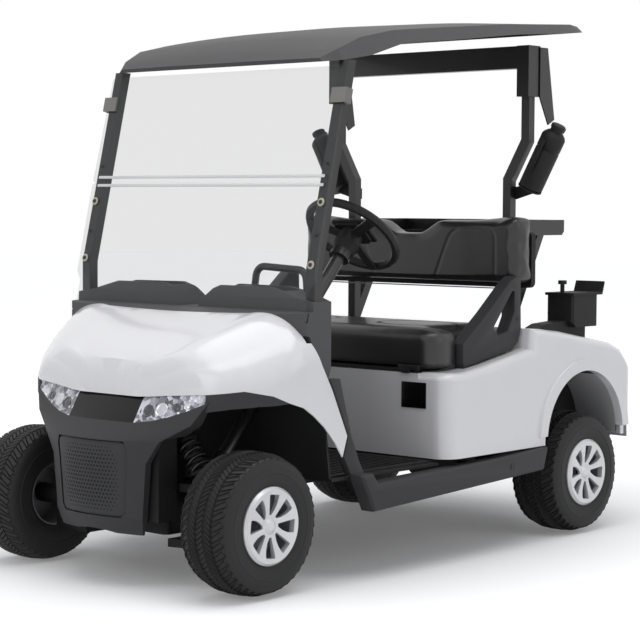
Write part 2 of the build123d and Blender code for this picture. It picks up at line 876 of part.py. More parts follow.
with BuildPart() as humps:
    for side in (1, -1):
        with BuildSketch(Plane.XZ.offset(-behind_front(hump_front - 10))):
            with BuildLine():
                Polyline([(side * x, z) for x, z in HUMP_FRONT], close=True)
            make_face()
        extrude(amount=-(dash_rear - hump_front + 20))
    with BuildSketch(Plane.YZ.offset(-dash_half)):
        with BuildLine():
            Polyline([side_point(*row) for row in HUMP_SIDE], close=True)
        make_face()
    extrude(amount=2 * dash_half, mode=Mode.INTERSECT)

with BuildPart() as dashboard:
    with BuildSketch(Plane.YZ.offset(-dash_half)):
        with BuildLine():
            Polyline([side_point(*row) for row in DASH_SIDE], close=True)
        make_face()
    extrude(amount=2 * dash_half)
    add(humps.part)
    # the front follows the hood's bowed edge, the rear face turns forwards at its ends
    with BuildSketch(Plane.XY.offset(hood_cut_z)):
        add(behind_arc(hood_rear + seat_gap, hood_rear_side + seat_gap, half_width_body, 260.0))
        with BuildLine():
            Polyline(
                (-dash_half, behind_front(240)),
                (-dash_half, behind_front(dash_end)),
                (-dash_end_half, behind_front(dash_rear)),
                (dash_end_half, behind_front(dash_rear)),
                (dash_half, behind_front(dash_end)),
                (dash_half, behind_front(240)),
                close=True,
            )
        make_face()
    extrude(amount=200, both=True, mode=Mode.INTERSECT)
    for left, right, near, far in DASH_BINS:
        with BuildSketch(Plane.XY.offset(dash_bin_floor)):
            with Locations(((left + right) / 2, behind_front((near + far) / 2))):
                Rectangle(right - left, far - near)
        extrude(amount=130, mode=Mode.SUBTRACT)
    # slot of the windshield's foot, sockets of the pillars and the handle
    with BuildSketch(screen_plane().offset(seat_gap)):
        with Locations((0, 100)):
            Rectangle(2 * (dash_half + 10), 200 + 2 * seat_gap)
    extrude(amount=-(screen_wall + 2 * seat_gap), mode=Mode.SUBTRACT)
    with BuildSketch(Plane.XY.offset(pillar_foot_z - seat_gap)):
        with Locations((pillar_x, behind_front(pillar_bend)), (-pillar_x, behind_front(pillar_bend))):
            Rectangle(pillar_size + 2 * seat_gap, 2 * (pillar_half + seat_gap))
    extrude(amount=pillar_bend_z - pillar_foot_z, mode=Mode.SUBTRACT)
    add(handle_body(handle_radius + seat_gap), mode=Mode.SUBTRACT)
finish(dashboard.part, "dashboard")

# ---------------------------------------------------------------- seat base and quarters
# White moulded body: a front wall under the seat, and a quarter panel on each side that
# runs from a rounded front corner over the rear wheel's arch.
quarter_wall = 5.0
quarter_inner = 470.0
quarter_low = 347.0
quarter_rear_inner = 405.0
arch_center = -12.0
arch_center_z = 355.0
arch_radius = 246.0
flare_radius = 288.0
flare_half_width = 610.0
flare_wall = 22.0
corner_radius = 70.0
rear_corner_radius = 60.0
rim_low_z = 500.0
top_radius = 30.0
quarter_cut = 254.0
# axle of reference, distance behind it, height
QUARTER_SIDE = [
    ("rear", -826.0, quarter_low),
    ("rear", -826.0, 636.0),
    ("rear", -720.0, 637.0),
    ("rear", -600.0, 652.0),
    ("rear", -400.0, 686.0),
    ("rear", -337.0, 695.0),
    ("rear", -333.0, 766.0),
    ("rear", -262.0, 762.0),
    ("rear", -156.0, 750.0),
    ("rear", 5.0, 722.0),
    ("rear", 172.0, 694.0),
    ("rear", 240.0, 668.0),
    ("rear", 283.0, 624.0),
    ("rear", 325.0, 576.0),
    ("rear", 325.0, 380.0),
    ("rear", quarter_cut, 380.0),
    ("rear", quarter_cut, quarter_low),
]


def quarter_body(side, inset):
    """The panel's outer form, or its hollow when inset is the wall."""
    outer = half_width_body - inset
    inner = quarter_rear_inner - (1 if inset else 0)
    with BuildPart() as body:
        with BuildSketch(Plane.YZ.offset(inner if side > 0 else -outer)):
            with BuildLine():
                Polyline([side_point(*row) for row in QUARTER_SIDE], close=True)
            make_face()
            if inset:
                offset(amount=-inset)
                with BuildLine():
                    Polyline(
                        side_point("rear", -826 + inset, quarter_low - inset),
                        side_point("rear", -826 + inset, 500),
                        side_point("rear", quarter_cut - inset, 500),
                        side_point("rear", quarter_cut - inset, quarter_low - inset),
                        close=True,
                    )
                make_face()
        extrude(amount=outer - inner)
        upright = body.edges().filter_by(Axis.Z).filter_by(
            lambda e: abs(abs(e.center().X) - outer) < 1 and e.center().Y < behind_rear(-800)
        )
        fillet(upright, corner_radius - inset)
        rear_upright = body.edges().filter_by(Axis.Z).filter_by(
            lambda e: abs(abs(e.center().X) - outer) < 1 and e.center().Y > behind_rear(300)
        )
        fillet(rear_upright, rear_corner_radius - inset)
        rim = body.faces().sort_by(Axis.X)[-1 if side > 0 else 0].outer_wire().edges()
        fillet(rim.filter_by(lambda e: e.center().Z > rim_low_z), top_radius - inset)
    return body.part


for name, side in (("left", 1), ("right", -1)):
    quarter_outer = quarter_body(side, 0.0)
    quarter_hollow = quarter_body(side, quarter_wall)
    with BuildPart() as quarter:
        add(quarter_outer)
        add(quarter_hollow, mode=Mode.SUBTRACT)
        # flare round the arch
        flare_start = half_width_body - flare_wall if side > 0 else -flare_half_width
        with BuildSketch(Plane.YZ.offset(flare_start)):
            with Locations(side_point("rear", arch_center, arch_center_z)):
                Circle(flare_radius)
            with Locations(side_point("rear", arch_center, 200.0)):
                Rectangle(2 * flare_radius + 20, 2 * (quarter_low + 33 - 200.0), mode=Mode.SUBTRACT)
        extrude(amount=flare_half_width - half_width_body + flare_wall)
        # in front of the step the panel is narrower
        narrow_start = quarter_rear_inner - 20 if side > 0 else -quarter_inner
        with BuildSketch(Plane.YZ.offset(narrow_start)):
            with Locations(side_point("rear", -600.0, 500.0)):
                Rectangle(2 * (600.0 - 333.0), 700.0)
        extrude(amount=quarter_inner - quarter_rear_inner + 20, mode=Mode.SUBTRACT)
        # wheel arch
        start = quarter_rear_inner - 20 if side > 0 else -flare_half_width - 20
        with BuildSketch(Plane.YZ.offset(start)):
            with Locations(side_point("rear", arch_center, arch_center_z)):
                Circle(arch_radius)
            with Locations(side_point("rear", arch_center, arch_center_z - arch_radius)):
                Rectangle(2 * arch_radius, 2 * arch_radius)
        extrude(amount=flare_half_width - quarter_rear_inner + 40, mode=Mode.SUBTRACT)
    finish(quarter.part, f"quarter_{name}")

with BuildPart() as seat_base:
    with BuildSketch(Plane.XZ.offset(-behind_rear(seat_front_rear))):
        with Locations((0, (quarter_low + seat_deck_z) / 2)):
            Rectangle(2 * quarter_inner - 1, seat_deck_z - quarter_low)
    extrude(amount=-seat_base_wall)
    # deck frame that the seat closes on
    with BuildSketch(Plane.XY.offset(seat_deck_z - 12)):
        with Locations((0, behind_rear((seat_front_rear - 330) / 2))):
            Rectangle(2 * quarter_inner - 1, -330 - seat_front_rear)
            Rectangle(2 * quarter_inner - 100, -330 - seat_front_rear - 90, mode=Mode.SUBTRACT)
    extrude(amount=12)
    # rear wall of the compartment
    with BuildSketch(Plane.XZ.offset(-behind_rear(-330))):
        with Locations((0, (quarter_low + seat_deck_z) / 2)):
            Rectangle(2 * quarter_inner - 1, seat_deck_z - quarter_low)
    extrude(amount=seat_base_wall)
finish(seat_base.part, "seat_base")

# ---------------------------------------------------------------- bag well and wheel houses
# Black tub between the rear wheels that the golf bags stand in, and the arch liners.
well_half = quarter_rear_inner - seat_gap
well_wall = 5.0
well_front = -324.0
well_rear = 320.0
well_floor_z = floor_z + 6
well_rim_z = 560.0
# raised pads beside the side walls that the rear struts stand on
strut_pad_rise = 4.0
strut_pad_margin = 8.0

with BuildPart() as bag_well:
    with BuildSketch(Plane.XY.offset(well_floor_z)):
        with Locations((0, behind_rear((well_front + well_rear) / 2))):
            Rectangle(2 * well_half, well_rear - well_front)
    extrude(amount=well_rim_z - well_floor_z)
    with BuildSketch(Plane.XY.offset(well_floor_z + well_wall)):
        with Locations((0, behind_rear((well_front + well_rear) / 2))):
            Rectangle(2 * (well_half - well_wall), well_rear - well_front - 2 * well_wall)
    extrude(amount=well_rim_z - well_floor_z, mode=Mode.SUBTRACT)
    # lower rear sill that the bag bottoms slide over
    with BuildSketch(Plane.XZ.offset(-behind_rear(well_rear - well_wall - 1))):
        with Locations((0, well_rim_z)):
            Rectangle(2 * (well_half - 60), 2 * (well_rim_z - 440))
    extrude(amount=-(well_wall + 2), mode=Mode.SUBTRACT)
    strut_pad_inner = strut_x - strut_size / 2 - strut_pad_margin
    strut_pad_outer = well_half - well_wall / 2
    with BuildSketch(Plane.XY.offset(well_floor_z + well_wall / 2)):
        for side in (1, -1):
            with Locations((side * (strut_pad_inner + strut_pad_outer) / 2, behind_rear(strut_y))):
                Rectangle(strut_pad_outer - strut_pad_inner, strut_size + 2 * strut_pad_margin)
    extrude(amount=well_wall / 2 + strut_pad_rise)
    # feet on the rails
    with BuildSketch(Plane.XY.offset(rail_z + rail_height / 2)):
        for side in (1, -1):
            with Locations((side * rail_x, behind_rear(0))):
                Rectangle(rail_width, 500)
    extrude(amount=well_floor_z - rail_z - rail_height / 2)
finish(bag_well.part, "bag_well")

liner_radius = arch_radius + seat_gap
with BuildPart() as wheel_houses:
    for side in (1, -1):
        house_outer = half_width_body - flare_wall - seat_gap
        start = well_half + seat_gap if side > 0 else -house_outer
        with BuildSketch(Plane.YZ.offset(start)):
            with Locations(side_point("rear", arch_center, arch_center_z)):
                Circle(liner_radius + liner_wall)
                Circle(liner_radius, mode=Mode.SUBTRACT)
            with Locations(side_point("rear", arch_center, arch_center_z - liner_radius)):
                Rectangle(2 * liner_radius + 40, 2 * liner_radius, mode=Mode.SUBTRACT)
        extrude(amount=house_outer - well_half - seat_gap)
finish(wheel_houses.part, "wheel_houses")

# ---------------------------------------------------------------- rear bumper
bumper_half = 500.0
bumper_low = 500.0
bumper_high = 640.0
bumper_front = 325.0 + seat_gap

with BuildPart() as rear_bumper:
    with BuildSketch(Plane.XY.offset(bumper_low)):
        with BuildLine():
            Line((-bumper_half, behind_rear(bumper_front)), (bumper_half, behind_rear(bumper_front)))
            Line((bumper_half, behind_rear(bumper_front)), (bumper_half, rear_y - 70))
            ThreePointArc((bumper_half, rear_y - 70), (0, rear_y), (-bumper_half, rear_y - 70))
            Line((-bumper_half, rear_y - 70), (-bumper_half, behind_rear(bumper_front)))
        make_face()
    extrude(amount=bumper_high - bumper_low)
    fillet(rear_bumper.edges().filter_by(Axis.Z).group_by(Axis.Y)[-1], 40)
    fillet(rear_bumper.faces().sort_by(Axis.Z)[-1].edges().sort_by(Axis.Y)[1:], 40)
finish(rear_bumper.part, "rear_bumper")

# ---------------------------------------------------------------- roof
# One moulded canopy: a deep sloping visor in front, low side bands, a crowned top.
# axle, distance, half width below, lower edge, half width above, upper edge, crown
ROOF_STATIONS = [
    ("front", 352.0, 470.0, 1652.0, 455.0, 1664.0, 1666.0),
    ("front", 400.0, 520.0, 1658.0, 490.0, 1694.0, 1702.0),
    ("front", 490.0, 556.0, 1676.0, 510.0, 1736.0, 1750.0),
    ("front", 640.0, 562.0, 1722.0, 522.0, 1768.0, 1788.0),
    ("front", 900.0, 564.0, 1750.0, 524.0, 1795.0, 1820.0),
    ("rear", -400.0, 564.0, 1794.0, 524.0, 1832.0, 1856.0),
    ("rear", -20.0, 562.0, 1826.0, 522.0, 1858.0, 1874.0),
    ("rear", 50.0, 530.0, 1834.0, 505.0, 1856.0, 1868.0),
]
roof_wall = 8.0


def roof_section(row, inset):
    """One cross section of the canopy, drawn on Plane.XZ; inset gives its hollow."""
    axle, distance, low_half, low_z, high_half, high_z, crown = row
    y = side_point(axle, distance, 0)[0]
    low_half -= inset * 2
    high_half -= inset * 2
    with BuildSketch(Plane.XZ.offset(-y)) as section:
        with BuildLine():
            Line((-low_half, low_z - inset), (low_half, low_z - inset))
            Line((low_half, low_z - inset), (high_half, high_z - inset))
            ThreePointArc((high_half, high_z - inset), (0, crown - inset), (-high_half, high_z - inset))
            Line((-high_half, high_z - inset), (-low_half, low_z - inset))
        make_face()
    return section.sketch


def roof_body(rows, inset):
    with BuildPart() as body:
        loft([roof_section(row, inset) for row in rows], ruled=True)
    return body.part


roof_outer = roof_body(ROOF_STATIONS, 0.0)
roof_inner = roof_body(ROOF_STATIONS[1:-1], roof_wall)
with BuildPart() as roof:
    add(roof_outer)
    add(roof_inner, mode=Mode.SUBTRACT)
finish(roof.part, "roof")

# ---------------------------------------------------------------- pillars and windshield
# Square steel tubes carry the roof.  The front pair stands upright out of the dash,
# then leans back with the windshield.
screen_seam_z = 1272.0
screen_high_z = 1640.0
screen_top_half = 540.0
pillar_top_z = 1657.7

with BuildPart() as front_pillars:
    top = screen_behind(pillar_top_z) + pillar_offset * lean_factor
    for side in (1, -1):
        with BuildSketch(Plane.YZ.offset(side * pillar_x - pillar_size / 2)):
            with BuildLine():
                Polyline(
                    side_point("front", pillar_bend - pillar_half, pillar_bend_z),
                    side_point("front", top - pillar_half, pillar_top_z),
                    side_point("front", top + pillar_half, pillar_top_z),
                    side_point("front", pillar_bend + pillar_half, pillar_bend_z),
                    side_point("front", pillar_bend + pillar_half, pillar_foot_z),
                    side_point("front", pillar_bend - pillar_half, pillar_foot_z),
                    close=True,
                )
            make_face()
        extrude(amount=pillar_size)
finish(front_pillars.part, "front_pillars")

# Two clear panes; the upper one folds down on the lower in use, and is fixed here.
with BuildPart() as windshield_lower:
    with BuildSketch(screen_plane()):
        with BuildLine():
            Polyline(
                (-screen_low_half, 0),
                (screen_low_half, 0),
                (screen_low_half, up_screen(screen_flare_low)),
                (screen_half, up_screen(screen_flare_high)),
                (screen_half, up_screen(screen_seam_z)),
                (-screen_half, up_screen(screen_seam_z)),
                (-screen_half, up_screen(screen_flare_high)),
                (-screen_low_half, up_screen(screen_flare_low)),
                close=True,
            )
        make_face()
    extrude(amount=-screen_wall)
    fillet(windshield_lower.edges().filter_by(lambda e: e.length < screen_wall + 0.01).group_by(Axis.Z)[-1], pane_corner)
finish(windshield_lower.part, "windshield_lower")

with BuildPart() as windshield_upper:
    with BuildSketch(screen_plane()):
        with BuildLine():
            Polyline(
                (-screen_half, up_screen(screen_seam_z) + seat_gap),
                (screen_half, up_screen(screen_seam_z) + seat_gap),
                (screen_top_half, up_screen(screen_high_z)),
                (-screen_top_half, up_screen(screen_high_z)),
                close=True,
            )
        make_face()
    extrude(amount=-screen_wall)
    fillet(windshield_upper.edges().filter_by(lambda e: e.length < screen_wall + 0.01), pane_corner)
finish(windshield_upper.part, "windshield_upper")

# Clips near the roof hold the upper pane to the pillars: a plate over the pane, a web
# round its edge and a plate on the pillar's side.
clip_low_z = 1521.0
clip_high_z = 1570.0
clip_wall = 6.0
clip_reach = 62.0
with BuildPart() as screen_clips:
    for side in (1, -1):
        inner = side * (screen_half + seat_gap + clip_wall - clip_reach)
        outer = side * (screen_half + seat_gap + clip_wall)
        with BuildSketch(screen_plane().offset(seat_gap)):
            with Locations(((inner + outer) / 2, up_screen((clip_low_z + clip_high_z) / 2))):
                Rectangle(clip_reach, clip_high_z - clip_low_z)
        extrude(amount=clip_wall)
        with BuildSketch(screen_plane().offset(seat_gap)):
            with Locations((outer - side * clip_wall / 2, up_screen((clip_low_z + clip_high_z) / 2))):
                Rectangle(clip_wall, clip_high_z - clip_low_z)
        extrude(amount=-screen_wall - 2 * seat_gap - 20)
        web = side * (pillar_x + pillar_size / 2 + seat_gap)
        with BuildSketch(screen_plane().offset(-screen_wall - seat_gap - 8)):
            with Locations(((web + outer) / 2, up_screen((clip_low_z + clip_high_z) / 2))):
                Rectangle(abs(outer - web), clip_high_z - clip_low_z)
        extrude(amount=-12)
finish(screen_clips.part, "screen_clips")

# The rear pair is cranked outwards above the seat back and ends in sleeves at the roof.
strut_top_x = 448.0
strut_foot_z = well_floor_z + well_wall + strut_pad_rise
strut_kink_low = 1293.0
strut_kink_high = 1434.0
strut_top_z = 1640.0
sleeve_size = 52.0
sleeve_low = 1592.0
sleeve_high = 1775.0

with BuildPart() as rear_struts:
    for side in (1, -1):
        with BuildSketch(Plane.XZ.offset(-behind_rear(strut_y - strut_size / 2))):
            with BuildLine():
                Polyline(
                    (side * (strut_x - strut_size / 2), strut_foot_z),
                    (side * (strut_x - strut_size / 2), strut_kink_low + 6),
                    (side * (strut_top_x - strut_size / 2), strut_kink_high + 6),
                    (side * (strut_top_x - strut_size / 2), strut_top_z),
                    (side * (strut_top_x + strut_size / 2), strut_top_z),
                    (side * (strut_top_x + strut_size / 2), strut_kink_high - 6),
                    (side * (strut_x + strut_size / 2), strut_kink_low - 6),
                    (side * (strut_x + strut_size / 2), strut_foot_z),
                    close=True,
                )
            make_face()
        extrude(amount=-strut_size)
        with BuildSketch(Plane.XY.offset(sleeve_low)):
            with Locations((side * strut_top_x, behind_rear(strut_y))):
                Rectangle(sleeve_size, sleeve_size + 20)
        extrude(amount=sleeve_high - sleeve_low)
finish(rear_struts.part, "rear_struts")

# Cross beam under the roof between the sleeves.
beam_low = 1694.0
with BuildPart() as roof_beam:
    with BuildSketch(Plane.XY.offset(beam_low)):
        with Locations((0, behind_rear(strut_y))):
            Rectangle(2 * strut_top_x - sleeve_size, 40)
    extrude(amount=sleeve_high - beam_low)
finish(roof_beam.part, "roof_beam")

# Smoked side gussets behind the sleeves.
gusset_wall = 5.0
GUSSET_SIDE = [
    ("rear", -142.0, 1770.0),
    ("rear", -95.0, 1770.0),
    ("rear", -50.0, 1513.0),
    ("rear", -88.0, 1493.0),
    ("rear", -142.0, 1590.0),
]
with BuildPart() as roof_gussets:
    for side in (1, -1):
        start = side * (strut_top_x + sleeve_size / 2) - (0 if side > 0 else gusset_wall)
        with BuildSketch(Plane.YZ.offset(start)):
            with BuildLine():
                Polyline([side_point(*row) for row in GUSSET_SIDE], close=True)
            make_face()
        extrude(amount=gusset_wall)
finish(roof_gussets.part, "roof_gussets")

# ---------------------------------------------------------------- steering
rim_major = 162.0
rim_tube = 15.0
steer_hub_radius = 40.0

with BuildPart() as steering_wheel:
    with BuildSketch(Plane(origin=steer_plane.origin, x_dir=(1, 0, 0), z_dir=steer_plane.y_dir)):
        with Locations((rim_major, 0)):
            RegularPolygon(rim_tube, 6)
    revolve(axis=Axis(steer_plane.origin, steer_axis))
    with BuildSketch(steer_plane.offset(-steer_hub_height)):
        Circle(steer_hub_radius)
    extrude(amount=steer_hub_height)
    for turn in (90, 210, 330):
        with BuildSketch(steer_plane.offset(-18)):
            with PolarLocations(rim_major / 2, 1, start_angle=turn):
                Rectangle(rim_major - 8, 34)
        extrude(amount=9)
    # cover and card holder on the hub
    with BuildSketch(steer_plane):
        RectangleRounded(120, 96, 24)
    extrude(amount=24)
finish(steering_wheel.part, "steering_wheel")

with BuildPart() as steering_column:
    with BuildSketch(steer_plane.offset(-steer_hub_height - seat_gap - column_reach)):
        Circle(column_radius)
    extrude(amount=column_reach)
    with BuildSketch(steer_plane.offset(-steer_hub_height - seat_gap - 60)):
        Circle(column_radius + 14)
    extrude(amount=60)
finish(steering_column.part, "steering_column")

# ---------------------------------------------------------------- seat
seat_half = 540.0
seat_back_half_plan = 452.0
seat_front = -838.0
seat_notch = -681.0 - seat_gap
seat_rear = -350.0
lid_low_z = seat_deck_z + seat_gap
lid_wall = 12.0
cushion_low_z = 646.0
cushion_high_z = 776.0

with BuildPart() as seat_lid:
    with BuildSketch(Plane.XY.offset(lid_low_z)):
        with Locations((0, behind_rear((seat_front + 20 + seat_rear) / 2))):
            Rectangle(2 * seat_back_half_plan, seat_rear - seat_front - 20)
    extrude(amount=cushion_low_z - lid_low_z)
finish(seat_lid.part, "seat_lid")

with BuildPart() as seat_cushion:
    with BuildSketch(Plane.XY.offset(cushion_low_z)):
        with Locations((0, behind_rear((seat_front + seat_notch) / 2))):
            Rectangle(2 * seat_half, seat_notch - seat_front)
        with Locations((0, behind_rear((seat_front + seat_rear) / 2))):
            Rectangle(2 * seat_back_half_plan, seat_rear - seat_front)
    extrude(amount=cushion_high_z - cushion_low_z)
    fillet(seat_cushion.edges().filter_by(Axis.Z).group_by(Axis.Y)[0], 80)
    fillet(seat_cushion.faces().sort_by(Axis.Z)[-1].outer_wire().edges(), 30)
finish(seat_cushion.part, "seat_cushion")

back_half = 520.0
back_low_z = 905.0
back_high_z = 1166.0
back_dip_z = 1118.0
back_front = -318.0
back_thick = 104.0
shell_wall = 20.0

with BuildPart() as seat_back:
    with BuildSketch(Plane.XZ.offset(-behind_rear(back_front))) as back_outline:
        with BuildLine():
            Polyline(
                (-back_half, back_low_z),
                (back_half, back_low_z),
                (back_half, back_high_z - 6),
                (150, back_high_z),
                (60, back_dip_z),
                (-60, back_dip_z),
                (-150, back_high_z),
                (-back_half, back_high_z - 6),
                close=True,
            )
        make_face()
        fillet(back_outline.vertices(), 28)
    extrude(amount=-back_thick)
    fillet(seat_back.faces().sort_by(Axis.Y)[0].outer_wire().edges(), 20)
finish(seat_back.part, "seat_back")

with BuildPart() as seat_back_shell:
    with BuildSketch(Plane.XZ.offset(-behind_rear(back_front + back_thick + seat_gap))):
        with Locations((0, (back_low_z + back_dip_z) / 2 - 6)):
            RectangleRounded(2 * back_half - 40, back_dip_z - back_low_z - 10, 20)
    extrude(amount=-(strut_y - strut_size / 2 - back_front - back_thick - seat_gap))
finish(seat_back_shell.part, "seat_back_shell")

# ---------------------------------------------------------------- hip restraints
# A moulded loop stands at each end of the seat, on the step of the quarter panel.
restraint_inner = 500.0
restraint_outer = 550.0
RESTRAINT_SIDE = [
    ("rear", -606.0, 660.0),
    ("rear", -671.0, 652.0),
    ("rear", -681.0, 662.0),
    ("rear", -681.0, 727.0),
    ("rear", -540.0, 830.0),
    ("rear", -408.0, 936.0),
    ("rear", -373.0, 952.0),
    ("rear", -350.0, 943.0),
    ("rear", -345.0, 768.0),
    ("rear", -359.0, 722.0),
    ("rear", -402.0, 691.0 + seat_gap),
    ("rear", -437.0, 690.0),
]
RESTRAINT_HOLE = [
    ("rear", -509.0, 775.0),
    ("rear", -400.0, 900.0),
    ("rear", -385.0, 900.0),
    ("rear", -384.0, 828.0),
    ("rear", -422.0, 760.0),
    ("rear", -480.0, 748.0),
]
with BuildPart() as hip_restraints:
    for side in (1, -1):
        start = restraint_inner if side > 0 else -restraint_outer
        with BuildSketch(Plane.YZ.offset(start)):
            with BuildLine():
                Polyline([side_point(*row) for row in RESTRAINT_SIDE], close=True)
            make_face()
            with BuildLine():
                Polyline([side_point(*row) for row in RESTRAINT_HOLE], close=True)
            make_face(mode=Mode.SUBTRACT)
        extrude(amount=restraint_outer - restraint_inner)
        # rubber foot on the seat end of the panel
        with BuildSketch(Plane.YZ.offset(start + 8)):
            with BuildLine():
                Polyline(
                    side_point("rear", -671.0, 652.0),
                    side_point("rear", -600.0, 661.0),
                    side_point("rear", -600.0, 652.0 + seat_gap),
                    side_point("rear", -671.0, 643.2 + seat_gap),
                    close=True,
                )
            make_face()
        extrude(amount=restraint_outer - restraint_inner - 16)
finish(hip_restraints.part, "hip_restraints")

# ---------------------------------------------------------------- bag rack
# Channel arms reach back from the struts over the bag well, each with a brace below.
rack_tube = 32.0
rack_low = 1090.0
rack_high = 1147.0
rack_rear = 160.0
brace_rear = 27.0
brace_foot = 757.0
brace_depth = 40.0
with BuildPart() as bag_rack:
    rack_front = strut_y + strut_size / 2
    for side in (1, -1):
        with BuildSketch(Plane.YZ.offset(side * strut_x - rack_tube / 2)):
            with BuildLine():
                Polyline(
                    side_point("rear", rack_front, rack_low),
                    side_point("rear", rack_front, rack_high),
                    side_point("rear", rack_rear, rack_high),
                    side_point("rear", rack_rear, rack_low + 14),
                    side_point("rear", rack_rear - 14, rack_low),
                    side_point("rear", brace_rear, rack_low),
                    side_point("rear", rack_front, brace_foot),
                    side_point("rear", rack_front, brace_foot + 75),
                    side_point("rear", brace_rear - brace_depth, rack_low),
                    close=True,
                )
            make_face()
        extrude(amount=rack_tube)
    with BuildSketch(Plane.XY.offset(rack_low)):
        with Locations((0, behind_rear(rack_rear - rack_tube / 2))):
            Rectangle(2 * strut_x, rack_tube)
    extrude(amount=rack_high - rack_low)
finish(bag_rack.part, "bag_rack")

# ---------------------------------------------------------------- sand bottles
# Each bottle leans outwards in a plate holder that is bolted to its strut.
bottle_radius = 45.0
bottle_y = -158.0
bottle_foot = (452.0, 1266.0)
bottle_head = (574.0, 1488.0)
bottle_neck = 22.0
holder_wall = 6.0
holder_drop = 30.0
holder_rise = 70.0
holder_reach = 24.0
with BuildPart() as sand_bottles:
    for side in (1, -1):
        foot = Vector(side * bottle_foot[0], behind_rear(bottle_y), bottle_foot[1])
        head = Vector(side * bottle_head[0], behind_rear(bottle_y), bottle_head[1])
        axis_plane = Plane(origin=foot, x_dir=(0, 1, 0), z_dir=head - foot)
        height = (head - foot).length
        with BuildSketch(axis_plane):
            Circle(bottle_radius)
        extrude(amount=height - bottle_neck)
        with BuildSketch(axis_plane.offset(height - bottle_neck)):
            Circle(bottle_neck)
        extrude(amount=bottle_neck)
finish(sand_bottles.part, "sand_bottles")

with BuildPart() as bottle_holders:
    lean = math.atan2(bottle_head[0] - bottle_foot[0], bottle_head[1] - bottle_foot[1])
    plate_z = bottle_foot[1] - (holder_wall / 2 + seat_gap) / math.cos(lean)
    plate_drop = holder_reach * math.tan(lean)
    for side in (1, -1):
        foot = Vector(side * bottle_foot[0], behind_rear(bottle_y), bottle_foot[1])
        up = Vector(side * math.sin(lean), 0, math.cos(lean))
        base = Plane(origin=foot - up * seat_gap, x_dir=(0, 1, 0), z_dir=up)
        with BuildSketch(base):
            Circle(bottle_radius)
        extrude(amount=-holder_wall)
        # bracket under the plate, against the strut's rear face
        with BuildSketch(Plane.XZ.offset(-behind_rear(strut_y + strut_size / 2))):
            with BuildLine():
                Polyline(
                    (side * (strut_x - strut_size / 2), strut_kink_low - holder_rise),
                    (side * (strut_x + strut_size / 2), strut_kink_low - holder_rise),
                    (side * (bottle_foot[0] + holder_reach), plate_z - plate_drop),
                    (side * (bottle_foot[0] - holder_reach), plate_z + plate_drop),
                    (side * (strut_x - strut_size / 2), strut_kink_low - holder_drop),
                    close=True,
                )
            make_face()
        extrude(amount=-holder_wall)
finish(bottle_holders.part, "bottle_holders")

# ---------------------------------------------------------------- ball and club washer
# A box with an overhanging lid on the left fender, with a plunger's knob in front.
washer_x = 490.0
washer_half = 59.0
washer_front = -17.0
washer_rear = 147.0
washer_low = 755.0
washer_high = 871.0
lid_rear = 182.0
lid_thick = 10.0
lid_lip = 4.0
knob_radius = 16.0
knob_rise = 45.0
lug_half = 30.0
with BuildPart() as ball_washer:
    with BuildSketch(Plane.YZ.offset(washer_x - washer_half)):
        with BuildLine():
            Polyline(
                side_point("rear", washer_front, washer_low + 20),
                side_point("rear", washer_front, washer_high),
                side_point("rear", washer_rear, washer_high),
                side_point("rear", washer_rear, washer_low),
                side_point("rear", washer_front + 20, washer_low),
                close=True,
            )
        make_face()
    extrude(amount=2 * washer_half)
    chamfer(ball_washer.edges().filter_by(Axis.Z), 8)
    with BuildSketch(Plane.YZ.offset(washer_x - washer_half - lid_lip)):
        with BuildLine():
            Polyline(
                side_point("rear", washer_front - lid_lip, washer_high),
                side_point("rear", washer_front - lid_lip, washer_high + lid_thick),
                side_point("rear", washer_rear + 20, washer_high + lid_thick),
                side_point("rear", lid_rear, washer_high + 49),
                side_point("rear", lid_rear + 4, washer_high + 45),
                side_point("rear", washer_rear + 24, washer_high),
                close=True,
            )
        make_face()
    extrude(amount=2 * (washer_half + lid_lip))
    with BuildSketch(Plane.XY.offset(washer_high + lid_thick)):
        with Locations((washer_x, behind_rear(washer_front + knob_radius))):
            Circle(knob_radius / 2)
    extrude(amount=knob_rise - 14)
    with BuildSketch(Plane.XY.offset(washer_high + lid_thick + knob_rise - 14)):
        with Locations((washer_x, behind_rear(washer_front + knob_radius))):
            Circle(knob_radius)
    extrude(amount=14)
    # wedge bracket that the washer stands on, over the fender's slope
    with BuildSketch(Plane.YZ.offset(washer_x - lug_half)):
        with BuildLine():
            Polyline(
                side_point("rear", -196, 757.5),
                side_point("rear", -150, 772),
                side_point("rear", washer_front + 4, washer_low + 24),
                side_point("rear", washer_front + 30, washer_low + 4),
                side_point("rear", washer_rear - 40, washer_low + 4),
                side_point("rear", washer_rear - 40, 707.2),
                side_point("rear", 5, 722.5),
                side_point("rear", -156, 750.5),
                close=True,
            )
        make_face()
    extrude(amount=2 * lug_half)
finish(ball_washer.part, "ball_washer")

# ---------------------------------------------------------------- pedals
pedal_toe_gap = 60.0
pedal_thick = 20.0
pedal_height = 100.0
with BuildPart() as pedals:
    for x, width in ((210, 60), (330, 90)):
        pedal_y = behind_front(toe_foot + pedal_toe_gap)
        with BuildSketch(Plane.XY.offset(floor_z + mat_wall + mat_rib)):
            with Locations((x, pedal_y)):
                Rectangle(width, pedal_thick)
        extrude(amount=pedal_height)
finish(pedals.part, "pedals")

